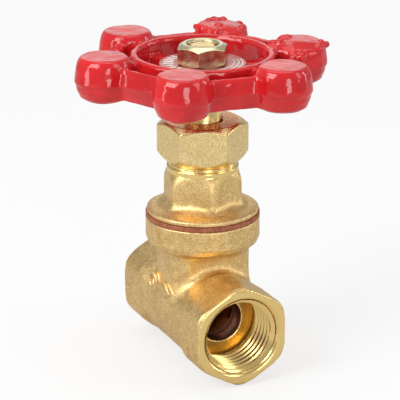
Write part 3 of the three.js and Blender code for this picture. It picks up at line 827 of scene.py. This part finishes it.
def buildPackingNut():
    nut = fieldPiece("packingNut", packingNutField, nutLow, nutHigh, packingNut["step"])
    nut.data.materials.append(turnedBrassMaterial)
    thread = fineThreadPiece("nutThread", turnedBrassMaterial, packingNut["bore"], nutLow[2] + 1.0,
                             nutHigh[2] - packingNut["plate"] - 1.5, inward=True)
    return joinPieces("packingNut", nut, thread)


nutPiece = buildPackingNut()
print("packing nut built", len(nutPiece.data.polygons))


# The handwheel casting.

wheel = {
    "knobs": 6, "knobRadius": 27.8, "knobTurn": -95.3, "rimOuter": 25.5, "rimInner": 22.0, "ringOuter": 19.9,
    "ringInner": 17.5, "hubTop": 11.3, "hubTopHeight": 69.9, "hubFoot": 8.2, "square": 4.3, "fillet": 1.2,
    "step": 0.365, "roughKnobs": (3, 4), "roughRadius": 8.6, "drips": 16, "dripReach": 8.0,
    "dripSize": (0.8, 1.5), "dripRise": (0.1, 1.0), "dripTop": 0.6, "dripSeed": 4,
    "waves": ((0.15, 5.0, 11), (0.03, 1.8, 13)),  # depth, size and seed of the casting's unevenness
}


def foldAround(x, y, count, turn):
    # brings every copy round the axis onto the one along +X
    sector = 2 * math.pi / count
    angle = np.arctan2(y, x) - math.radians(turn)
    angle = np.mod(angle + sector / 2, sector) - sector / 2
    reach = np.hypot(x, y)
    return reach * np.cos(angle), reach * np.sin(angle)


def roughTops(whole, x, y, z):
    # two of the knobs are cast short, and thick paint has gathered on them in blobs
    w = wheel
    chance = np.random.default_rng(w["dripSeed"])
    for knob in w["roughKnobs"]:
        a = math.radians(w["knobTurn"] + 60 * knob)
        u = x * math.cos(a) + y * math.sin(a) - w["knobRadius"]
        v = y * math.cos(a) - x * math.sin(a)
        dome = wheelHigh[2] + 0.3 - 0.03 * (u * u + v * v) + 0.1 * v
        whole = cut(whole, softMax(dome - z, np.hypot(u, v) - w["roughRadius"], 0.3), 0.8)
        for _ in range(w["drips"]):
            side, off = chance.uniform(0, 2 * math.pi), w["dripReach"] * math.sqrt(chance.uniform(0, 1))
            size = chance.uniform(*w["dripSize"])
            pu, pv = off * math.cos(side), off * math.sin(side)
            top = wheelHigh[2] + 0.3 - 0.03 * off * off + 0.1 * pv + chance.uniform(*w["dripRise"])
            height = min(top, wheelHigh[2] + w["dripTop"]) - size
            blob = np.sqrt((u - pu) ** 2 + (v - pv) ** 2 + (z - height) ** 2) - size
            whole = softMin(whole, blob, 0.5)
    return whole


def wheelField(x, y, z):
    w = wheel
    bottom, top = wheelLow[2], wheelHigh[2]
    fx, fy = foldAround(x, y, w["knobs"], w["knobTurn"])
    knob = turnedField(fx - w["knobRadius"], fy, z, [
        (core, 63.1), (5.2, 63.1), (6.5, 64.0), (7.35, 66.0), (7.6, 67.5), (7.95, 68.1), (7.85, 69.4),
        (7.5, 71.8), (7.1, 73.4), (6.55, top - 0.4), (5.9, top), (core, top)], 0.25)
    out = fx * math.cos(math.pi / 6) + np.abs(fy) * math.sin(math.pi / 6)
    rim = outlineField(out, z, [
        (w["rimInner"] + 0.7, 64.4), (w["rimOuter"] - 1.2, 63.8), (w["rimOuter"] - 0.5, 66.4),
        (w["rimOuter"] - 0.1, 67.6), (w["rimOuter"] + 0.15, 68.1), (w["rimOuter"] - 0.5, 71.4),
        (w["rimOuter"] - 1.1, 72.5), (w["rimInner"] + 0.9, 72.3), (w["rimInner"], 68)], 0.3)
    reach = np.hypot(x, y)
    ring = outlineField(reach, z, [
        (w["ringInner"] + 0.4, 65.6), (w["ringOuter"] - 0.4, 65.6), (w["ringOuter"] + 0.1, 68.6),
        (w["ringOuter"] - 0.3, 73.1), (w["ringOuter"] - 0.8, 73.55), (w["ringInner"] + 0.6, 73.55),
        (w["ringInner"], 72.6)], 0.3)
    # each web between ring and rim has a raised edge along both sides
    web = block(fx, fy, z, (w["ringInner"] + 0.6, -2.7, 66.0), (w["rimOuter"], 2.7, 72.2), 0.6)
    edges = block(fx, np.abs(fy), z, (w["ringInner"] + 0.8, 1.9, 71.0), (w["rimOuter"] - 3, 2.9, 72.9), 0.5)
    web = softMin(web, edges, 0.4)
    sx, sy = foldAround(x, y, 3, w["knobTurn"] + 60)
    spoke = block(sx, sy, z, (w["hubFoot"] - 1, -2.3, 64.8), (w["ringInner"] + 1, 2.3, 69.6), 0.9)
    hub = turnedField(x, y, z, [
        (core, bottom), (w["hubFoot"], bottom), (w["hubFoot"], 66.5), (w["hubTop"], 68.2),
        (w["hubTop"], w["hubTopHeight"]), (core, w["hubTopHeight"])], 0.3)
    whole = softMin(softMin(knob, rim, w["fillet"]), web, w["fillet"])
    whole = softMin(whole, ring, w["fillet"])
    whole = softMin(softMin(whole, spoke, w["fillet"]), hub, 0.8)
    whole = roughTops(whole, x, y, z)
    square = softMax(np.abs(x), np.abs(y), 0.2) - w["square"]
    return cut(whole, square, 0.3)


def wheelUnevenness(points):
    return sum(depth * waviness(points, size, seed) for depth, size, seed in wheel["waves"])


wheelPiece = fieldPiece("handwheelCasting", wheelField, wheelLow, wheelHigh, wheel["step"], wheelUnevenness)
wheelPiece.data.materials.append(redPaintMaterial)
print("handwheel built", len(wheelPiece.data.polygons))


# The nut on top.

topNut = {"flats": 12.8, "turn": -32.5, "hole": 4.15, "topRadius": 5.4, "topDrop": 1.1, "step": 0.13}


def topNutField(x, y, z):
    n = topNut
    bottom, top = wheelNutLow[2], wheelNutHigh[2]
    cornerR = n["flats"] / math.sqrt(3)
    sides = hexagon(x, y, n["flats"], n["turn"], 0.2)
    chamfers = turnedField(x, y, z, [
        (core, bottom), (n["flats"] / 2, bottom), (cornerR, bottom + 0.6), (cornerR, top - n["topDrop"]),
        (n["topRadius"], top), (core, top)], 0.06)
    hole = turnedField(x, y, z, [
        (core, bottom - 2), (n["hole"], bottom - 2), (n["hole"], top - 0.5), (n["hole"] + 0.6, top + 0.1),
        (n["hole"] + 0.6, top + 2), (core, top + 2)])
    return cut(softMax(sides, chamfers, 0.08), hole, 0.1)


topNutPiece = fieldPiece("topNut", topNutField, wheelNutLow, wheelNutHigh, topNut["step"])
topNutPiece.data.materials.append(zincMaterial)
print("top nut built", len(topNutPiece.data.polygons))


# The stem, turned in one piece with its screw ends.

stem = {"shaft": 5.0, "neck": 4.1, "collar": 6.7, "collarFrom": 34.8, "collarTo": 37.0, "square": 4.0,
        "squareTop": 69.6, "screwCore": 2.8, "screwTo": 32.3, "topCore": 3.35, "topScrewFrom": 70.1}
# the gate's thread is cut to the first of these
stemThread = {"root": stem["screwCore"] - 0.03, "depth": 1.12, "pitch": 3.0, "crest": 0.3, "steps": 40,
              "leftHand": True, "fade": 0.05, "fromFoot": 0.3}
topThread = {"root": stem["topCore"] - 0.02, "depth": 0.6, "pitch": 1.25, "crest": 0.12, "steps": 40,
             "fade": 0.12}
roundSteps = 96  # faces round a turned piece


def spunObject(name, points, faces):
    mesh = bpy.data.meshes.new(name)
    mesh.from_pydata([tuple(c * mm for c in p) for p in points], [], faces)
    mesh.shade_smooth()
    mesh.set_sharp_from_angle(angle=math.radians(28))
    return addObject(name, mesh)


def spinPiece(name, outline, radiusAt):
    # turns an open outline of (radius, height) round Z; radiusAt shapes the radius at an angle
    steps = roundSteps
    angles = np.arange(steps) * 2 * math.pi / steps
    rings = [(r, z) for r, z in outline if r > 0]
    points = [(0, 0, outline[0][1])]
    for r, z in rings:
        for a in angles:
            here = radiusAt(r, z, a)
            points.append((here * math.cos(a), here * math.sin(a), z))
    points.append((0, 0, outline[-1][1]))
    faces = [(0, 1 + (i + 1) % steps, 1 + i) for i in range(steps)]
    for row in range(len(rings) - 1):
        a, b = 1 + row * steps, 1 + (row + 1) * steps
        faces += [(a + i, a + (i + 1) % steps, b + (i + 1) % steps, b + i) for i in range(steps)]
    last, end = 1 + (len(rings) - 1) * steps, len(points) - 1
    faces += [(end, last + i, last + (i + 1) % steps) for i in range(steps)]
    return spunObject(name, points, faces)


def spinRing(name, outline):
    # turns a closed outline, anticlockwise, round Z
    steps = roundSteps
    angles = np.arange(steps) * 2 * math.pi / steps
    points = [(r * math.cos(a), r * math.sin(a), z) for r, z in outline for a in angles]
    faces = []
    for row in range(len(outline)):
        a, b = row * steps, (row + 1) % len(outline) * steps
        faces += [(a + i, a + (i + 1) % steps, b + (i + 1) % steps, b + i) for i in range(steps)]
    return spunObject(name, points, faces)


def buildStem():
    s = stem
    bottom, top = stemLow[2], stemHigh[2]
    outline = [
        (0, bottom), (s["screwCore"] - 0.5, bottom), (s["screwCore"], bottom + 0.6),
        (s["screwCore"], s["screwTo"]), (s["neck"], 32.6), (s["neck"], 33.0), (s["shaft"], 33.9),
        (s["shaft"], s["collarFrom"]), (s["collar"] - 0.2, s["collarFrom"]), (s["collar"], 35.0),
        (s["collar"], 36.8), (s["collar"] - 0.2, s["collarTo"]), (s["shaft"], s["collarTo"]),
        (s["shaft"], wheelLow[2] - 0.5), (s["shaft"] - 0.15, wheelLow[2] - 0.02),
        (s["shaft"] - 0.16, wheelLow[2]), (s["shaft"] - 0.16, s["squareTop"]),
        (s["topCore"], s["squareTop"] + 0.1), (s["topCore"], top - 0.45),
        (s["topCore"] - 0.15, top - 0.2), (2.9, top - 0.12), (2.4, top), (1.7, top - 0.04), (1.1, top - 0.22),
        (0, top - 0.26),
    ]

    def radiusAt(r, z, a):
        if wheelLow[2] - 0.01 <= z <= s["squareTop"] + 0.05 and r > s["topCore"]:
            return min(r, s["square"] / max(abs(math.cos(a)), abs(math.sin(a))))
        if z > top - 0.3:
            # the end is hammered over a little, so it isn't quite round
            return r * (1 + 0.03 * math.sin(3 * a + 1) + 0.025 * math.sin(7 * a))
        return r

    rod = spinPiece("stemRod", outline, radiusAt)
    rod.data.materials.append(turnedBrassMaterial)
    screwSize = {**stemThread, "length": s["screwTo"] - 0.5 - bottom}
    screw = place(threadPiece("stemScrew", screwSize, turnedBrassMaterial),
                  Matrix.Translation((0, 0, (bottom + stemThread["fromFoot"]) * mm)))
    topSize = {**topThread, "length": top - 0.7 - s["topScrewFrom"]}
    topScrew = place(threadPiece("topScrew", topSize, turnedBrassMaterial),
                     Matrix.Translation((0, 0, s["topScrewFrom"] * mm)))
    return joinPieces("stemSpindle", rod, screw, topScrew)


stemPiece = buildStem()
print("stem built")


# The gate, with its screwed boss and the slots that the body's ribs run in.

gate = {"seat": 8.4, "half": 5.7, "boss": 5.9, "bossFrom": 4.0, "earHalf": 3.4, "slotHalf": 1.6,
        "slotAt": 7.6, "pocket": 4.25, "threadFrom": 25.3, "slack": 0.3, "uneven": 0.03, "seed": 21,
        "step": 0.24}


def gateField(x, y, z):
    g, low = gate, gateLow[2]
    middle = low + g["seat"]
    reach = np.hypot(y, z - middle)
    face = np.abs(x) - (g["half"] + (z - middle) * body["seatSlope"])
    disc = softMax(reach - g["seat"], face, 0.35)
    ears = block(x, y, z, (-g["earHalf"], gateLow[1], middle - 1.5),
                 (g["earHalf"], gateHigh[1], middle + 5), 0.5)
    # the boss starts where the wedge is thicker, so that its foot stays behind the seat faces
    foot = middle + g["bossFrom"]
    boss = turnedField(x, y, z, [
        (core, foot), (g["boss"], foot), (g["boss"], gateHigh[2]), (core, gateHigh[2])], 0.25)
    whole = softMin(softMin(disc, ears, 0.8), boss, 0.25)
    slot = softMax(np.abs(x) - g["slotHalf"], g["slotAt"] - np.abs(y), 0.2)
    pocket = softMax(np.hypot(x, y) - g["pocket"], slab(z, middle - 5, g["threadFrom"]), 0.2)
    # the thread in the boss, a little wider than the stem's
    t = stemThread
    turns = (z - stemLow[2] - t["fromFoot"]) / t["pitch"] + np.arctan2(y, x) / (2 * math.pi)
    offset = np.abs(np.mod(turns + 0.5, 1) - 0.5) * t["pitch"]
    flank = (t["pitch"] * (rootShare - t["crest"])) / 2
    rise = np.clip((t["pitch"] * rootShare / 2 + g["slack"] / 2 - offset) / flank, 0, 1)
    screw = (np.hypot(x, y) - stem["screwCore"] - g["slack"] - t["depth"] * rise) * 0.7
    screw = softMax(screw, g["threadFrom"] - 0.5 - z, 0.1)
    return cut(cut(cut(whole, slot, 0.25), pocket, 0.2), screw, 0.1)


def gateMachined(x, y, z):
    reach = np.hypot(y, z - gateLow[2] - gate["seat"])
    flat = (reach < gate["seat"] - 0.1) & (np.abs(x) > gate["half"] - 1.2)
    return (flat | (np.hypot(x, y) < gate["pocket"] + 0.3)).astype(float)


gatePiece = fieldPiece("gateWedge", gateField, gateLow, gateHigh, gate["step"],
                       castUnevenness(gate["uneven"], gate["seed"]), gateMachined)
gatePiece.data.materials.append(castBrassMaterial)
print("gate built", len(gatePiece.data.polygons))


# Gasket, name plate and what the stuffing box holds.

def roundedRingOutline(inner, outer, low, high, r):
    return [(inner + r, low), (outer - r, low), (outer, low + r), (outer, high - r), (outer - r, high),
            (inner + r, high), (inner, high - r), (inner, low + r)]


def ringLike(node, name, inner, material, edge):
    low, high = cadBox(node)
    piece = spinRing(name, roundedRingOutline(inner, high[0], low[2], high[2], edge))
    piece.data.materials.append(material)
    return piece


gasket = {"bore": 12.9, "edge": 0.12}
washer = {"bore": 5.3, "edge": 0.1}
gasketPiece = ringLike("bonnet_gasket", "gasketRing", gasket["bore"], gasketMaterial, gasket["edge"])
washerPiece = ringLike("thrust_washer", "thrustWasher", washer["bore"], turnedBrassMaterial, washer["edge"])

gland = {"bore": 5.4, "tube": 6.7, "collar": 1.2, "edge": 0.15, "mouth": 0.4}


def buildGland():
    # a short tube with a collar that the packing nut presses on
    inner, outer, lip, mouth = gland["bore"], gland["tube"], gland["edge"], gland["mouth"]
    z, top, wide = glandLow[2], glandHigh[2], glandHigh[0]
    under = top - gland["collar"]
    piece = spinRing("packingGland", [
        (inner + mouth, z), (outer - lip, z), (outer, z + lip), (outer, under), (wide - lip, under),
        (wide, under + lip), (wide, top - lip), (wide - lip, top), (inner + lip, top), (inner, top - lip),
        (inner, z + mouth)])
    piece.data.materials.append(turnedBrassMaterial)
    return piece


glandPiece = buildGland()

braid = {"inner": 5.3, "rings": 4, "strands": 6, "valley": 0.86, "twists": 5.0, "steps": 150}


def buildBraidTree():
    # a twisted cord bent round into a ring and pressed to its height
    tree, given = startTree("braidedRing", {
        "Ring Radius": "Float", "Cord Radius": "Float", "Valley": "Float", "Strands": "Int",
        "Twists": "Float", "Steps": "Int", "Squeeze": "Float", "Height": "Float", "Material": "Material"})
    circle = treeNode(tree, "GeometryNodeCurvePrimitiveCircle", {
        "Resolution": given["Steps"], "Radius": given["Ring Radius"]})
    along = treeNode(tree, "GeometryNodeSplineParameter").outputs["Factor"]
    tilt = treeMath(tree, "MULTIPLY", along, treeMath(tree, "MULTIPLY", given["Twists"], 2 * math.pi))
    tilted = treeNode(tree, "GeometryNodeSetCurveTilt", {"Curve": circle.outputs[0], "Tilt": tilt})
    valley = treeMath(tree, "MULTIPLY", given["Cord Radius"], given["Valley"])
    profile = treeNode(tree, "GeometryNodeCurveStar", {
        "Points": given["Strands"], "Inner Radius": valley,
        "Outer Radius": given["Cord Radius"]})
    cord = treeNode(tree, "GeometryNodeCurveToMesh", {
        "Curve": tilted.outputs[0], "Profile Curve": profile.outputs[0]})
    scale = treeNode(tree, "ShaderNodeCombineXYZ", {0: 1.0, 1: 1.0, 2: given["Squeeze"]}).outputs[0]
    lift = treeNode(tree, "ShaderNodeCombineXYZ", {2: given["Height"]}).outputs[0]
    pressed = treeNode(tree, "GeometryNodeTransform", {
        "Geometry": cord.outputs[0], "Translation": lift, "Scale": scale})
    endTree(tree, pressed.outputs[0], given["Material"])
    return tree


def buildPackingRings():
    tree = buildBraidTree()
    pieces = {}
    for i in range(1, braid["rings"] + 1):
        low, high = cadBox(f"packing_ring_{i}")
        cord = (high[0] - braid["inner"]) / 2
        pieces[f"packing_ring_{i}"] = treePiece(f"packingRing{i}", tree, {
            "Ring Radius": (high[0] - cord) * mm, "Cord Radius": cord * mm, "Valley": braid["valley"],
            "Strands": braid["strands"], "Twists": braid["twists"], "Steps": braid["steps"],
            "Squeeze": (high[2] - low[2]) / (2 * cord), "Height": (low[2] + high[2]) / 2 * mm,
            "Material": graphiteMaterial})
    return pieces


packingPieces = buildPackingRings()

plate = {"bore": 4.2, "edge": 0.12, "relief": 0.12, "bars": 9, "barRadius": 9.4, "barLength": 3.0,
         "barWidth": 0.75, "barShortest": 0.55, "barSeed": 3, "barsFrom": -152, "barsSweep": 92,
         "arcs": (8.6, 9.8, 10.9), "arcWidth": 0.4, "arcFrom": 5, "arcSweep": 80, "arcSteps": 48}


def buildBarTree():
    # short bars that stand round an arc and point at the middle
    tree, given = startTree("plateBars", {
        "Count": "Int", "Radius": "Float", "Length": "Float", "Shortest": "Float", "Width": "Float",
        "Relief": "Float", "Height": "Float", "From": "Float", "Sweep": "Float", "Seed": "Int",
        "Material": "Material"})
    points = treeNode(tree, "GeometryNodePoints", {"Count": given["Count"]})
    index = treeNode(tree, "GeometryNodeInputIndex").outputs[0]
    share = treeMath(tree, "DIVIDE", index, treeMath(tree, "SUBTRACT", given["Count"], 1.0))
    angle = treeMath(tree, "MULTIPLY_ADD", share, given["Sweep"], given["From"])
    spot = treeNode(tree, "ShaderNodeCombineXYZ", {
        0: treeMath(tree, "MULTIPLY", given["Radius"], treeMath(tree, "COSINE", angle)),
        1: treeMath(tree, "MULTIPLY", given["Radius"], treeMath(tree, "SINE", angle)), 2: given["Height"]})
    placed = treeNode(tree, "GeometryNodeSetPosition", {
        "Geometry": points.outputs[0], "Position": spot.outputs[0]})
    size = treeNode(tree, "ShaderNodeCombineXYZ", {0: given["Length"], 1: given["Width"], 2: given["Relief"]})
    bar = treeNode(tree, "GeometryNodeMeshCube", {"Size": size.outputs[0]})
    uneven = treeNode(tree, "FunctionNodeRandomValue", {2: given["Shortest"], 3: 1.0, "Seed": given["Seed"]},
                      data_type="FLOAT")
    bars = treeNode(tree, "GeometryNodeInstanceOnPoints", {
        "Points": placed.outputs[0], "Instance": bar.outputs[0],
        "Rotation": treeNode(tree, "ShaderNodeCombineXYZ", {2: angle}).outputs[0],
        "Scale": treeNode(tree, "ShaderNodeCombineXYZ", {0: uneven.outputs[1], 1: 1.0, 2: 1.0}).outputs[0]})
    endTree(tree, bars.outputs[0], given["Material"])
    return tree


def buildArcTree():
    # a thin raised line along an arc
    tree, given = startTree("plateArc", {
        "Radius": "Float", "Width": "Float", "Relief": "Float", "Height": "Float", "From": "Float",
        "Sweep": "Float", "Steps": "Int", "Material": "Material"})
    arc = treeNode(tree, "GeometryNodeCurveArc", {
        "Resolution": given["Steps"], "Radius": given["Radius"], "Start Angle": given["From"],
        "Sweep Angle": given["Sweep"]})
    upright = treeNode(tree, "GeometryNodeSetCurveNormal", {"Curve": arc.outputs[0]}, mode="Z_UP")
    strip = treeNode(tree, "GeometryNodeCurvePrimitiveQuadrilateral", {
        "Width": given["Width"], "Height": given["Relief"]})
    ridge = treeNode(tree, "GeometryNodeCurveToMesh", {
        "Curve": upright.outputs[0], "Profile Curve": strip.outputs[0], "Fill Caps": True})
    lift = treeNode(tree, "ShaderNodeCombineXYZ", {2: given["Height"]}).outputs[0]
    lifted = treeNode(tree, "GeometryNodeTransform", {"Geometry": ridge.outputs[0], "Translation": lift})
    endTree(tree, lifted.outputs[0], given["Material"])
    return tree


def buildPlate():
    disc = ringLike("name_plate", "namePlate", plate["bore"], plateRedReflectionMaterial, plate["edge"])
    common = {"Relief": plate["relief"] * 2 * mm, "Height": plateHigh[2] * mm, "Material": inkMaterial}
    marks = [treePiece("plateBars", buildBarTree(), {
        **common, "Count": plate["bars"], "Radius": plate["barRadius"] * mm,
        "Length": plate["barLength"] * mm, "Shortest": plate["barShortest"], "Width": plate["barWidth"] * mm,
        "From": math.radians(plate["barsFrom"]), "Sweep": math.radians(plate["barsSweep"]),
        "Seed": plate["barSeed"]})]
    arcTree = buildArcTree()
    for radius in plate["arcs"]:
        marks.append(treePiece("plateArc", arcTree, {
            **common, "Radius": radius * mm, "Width": plate["arcWidth"] * mm, "Steps": plate["arcSteps"],
            "From": math.radians(plate["arcFrom"]), "Sweep": math.radians(plate["arcSweep"])}))
    return joinPieces("namePlate", disc, *marks)


platePiece = buildPlate()
print("rings, packing and name plate built")


def settle(piece, bodyName, slotName, *nodes):
    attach(piece, bodyName)
    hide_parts(*nodes)


settle(valveBody, "valve", "cast_brass", "valve_body")
settle(bonnetCasting, "valve", "cast_brass", "bonnet")
settle(nutPiece, "valve", "turned_brass", "packing_nut")
settle(gasketPiece, "valve", "gasket_fibre", "bonnet_gasket")
settle(washerPiece, "valve", "turned_brass", "thrust_washer")
settle(glandPiece, "valve", "turned_brass", "packing_gland")
for node, piece in packingPieces.items():
    settle(piece, "valve", "graphite_packing", node)
settle(gatePiece, "gate_disc", "cast_brass", "gate")
settle(wheelPiece, "wheel_and_stem", "red_paint", "handwheel")
settle(stemPiece, "wheel_and_stem", "turned_brass", "stem")
settle(platePiece, "wheel_and_stem", "name_plate_metal", "name_plate")
settle(topNutPiece, "wheel_and_stem", "zinc_plate", "wheel_nut")


# Floor, light and camera.

stage = {"floorSize": 6.0, "floorSeen": 0.955, "floorShadow": 0.25, "shadowFrom": 0.15, "shadowTo": 0.5,
         "floorBounce": 0.62, "floorPaper": 0.93, "floorGap": 0.0002, "worldSeen": 0.955, "worldLight": 0.44}


def paperShader(tree, colour):
    return treeNode(tree, "ShaderNodeBsdfDiffuse", {"Color": (colour, colour, colour, 1)}).outputs[0]


def buildFloor():
    # white paper: the camera sees a faint shadow on it, the metal sees it a little darker
    low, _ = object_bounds()
    half = stage["floorSize"] / 2
    mesh = bpy.data.meshes.new("floor")
    z = low[2] - stage["floorGap"]
    corners = [(-half, -half, z), (half, -half, z), (half, half, z), (-half, half, z)]
    mesh.from_pydata(corners, [], [(0, 1, 2, 3)])
    material = bpy.data.materials.new("floorPaper")
    material.use_nodes = True
    tree = material.node_tree
    tree.nodes.clear()
    glow = treeNode(tree, "ShaderNodeEmission", {"Color": (1, 1, 1, 1), "Strength": stage["floorSeen"]})
    paper, bounce = paperShader(tree, stage["floorPaper"]), paperShader(tree, stage["floorBounce"])
    # the shadow fades out a little way off, so that no grey band shows at the horizon
    where = treeNode(tree, "ShaderNodeTexCoord").outputs["Object"]
    away = treeNode(tree, "ShaderNodeVectorMath", {0: where}, operation="LENGTH").outputs["Value"]
    shadow = spread(tree, away, stage["shadowFrom"], stage["shadowTo"], stage["floorShadow"], 0.0)
    seen = treeNode(tree, "ShaderNodeMixShader", {0: shadow, 1: glow.outputs[0], 2: paper})
    byCamera = treeNode(tree, "ShaderNodeLightPath").outputs["Is Camera Ray"]
    both = treeNode(tree, "ShaderNodeMixShader", {0: byCamera, 1: bounce, 2: seen.outputs[0]})
    treeNode(tree, "ShaderNodeOutputMaterial", {"Surface": both.outputs[0]})
    mesh.materials.append(material)
    addObject("floor", mesh)


# azimuth and elevation in degrees, width and height in metres, power in watts
lights = {
    "keyLight": (15, 38, 0.5, 0.5, 5.0), "leftStrip": (-4, 12, 0.12, 0.5, 0.9),
    "portLight": (86, 9, 0.3, 0.3, 1.5), "sideLight": (135, 28, 0.3, 0.5, 1.2),
    "rightStrip": (175, 14, 0.1, 0.5, 0.8), "topLight": (-114, 82, 0.8, 0.6, 2.4),
    "backLight": (-114, 24, 0.5, 0.5, 0.5),
}


def towards(azimuth, elevation):
    az, el = math.radians(azimuth), math.radians(elevation)
    return Vector((math.sin(az) * math.cos(el), -math.cos(az) * math.cos(el), math.sin(el)))


def buildLights():
    middle, distance = Vector((0, 0, 0.03)), 0.9
    for name, (azimuth, elevation, width, height, power) in lights.items():
        data = bpy.data.lights.new(name, "AREA")
        data.shape, data.size, data.size_y, data.energy = "RECTANGLE", width, height, power
        light = bpy.data.objects.new(name, data)
        bpy.context.scene.collection.objects.link(light)
        back = towards(azimuth, elevation)
        light.location = middle + back * distance
        light.rotation_euler = back.to_track_quat("Z", "Y").to_euler()


view = {"azimuth": 65.5, "elevation": 19.85, "distance": 0.5697, "target": (0, 0, 0.02492),
        "aim": (-0.0003, -0.00066, 0.0312), "lens": 184.9, "sensor": 36, "nearest": 0.01}


def buildCamera():
    back = towards(view["azimuth"], view["elevation"])
    data = bpy.data.cameras.new("camera")
    data.lens, data.sensor_width, data.clip_start = view["lens"], view["sensor"], view["nearest"]
    camera = bpy.data.objects.new("camera", data)
    bpy.context.scene.collection.objects.link(camera)
    camera.location = Vector(view["target"]) + back * view["distance"]
    camera.rotation_euler = (camera.location - Vector(view["aim"])).to_track_quat("Z", "Y").to_euler()
    bpy.context.scene.camera = camera


def buildWorld():
    world = bpy.data.worlds.new("studio")
    world.use_nodes = True
    tree = world.node_tree
    tree.nodes.clear()
    byCamera = treeNode(tree, "ShaderNodeLightPath").outputs["Is Camera Ray"]
    strength = spread(tree, byCamera, 0.0, 1.0, stage["worldLight"], stage["worldSeen"])
    room = treeNode(tree, "ShaderNodeBackground", {"Color": (1, 1, 1, 1), "Strength": strength})
    treeNode(tree, "ShaderNodeOutputWorld", {"Surface": room.outputs[0]})
    bpy.context.scene.world = world


buildFloor()
buildWorld()
buildLights()
buildCamera()
bpy.context.scene.view_settings.view_transform = "Standard"
print("stage built")
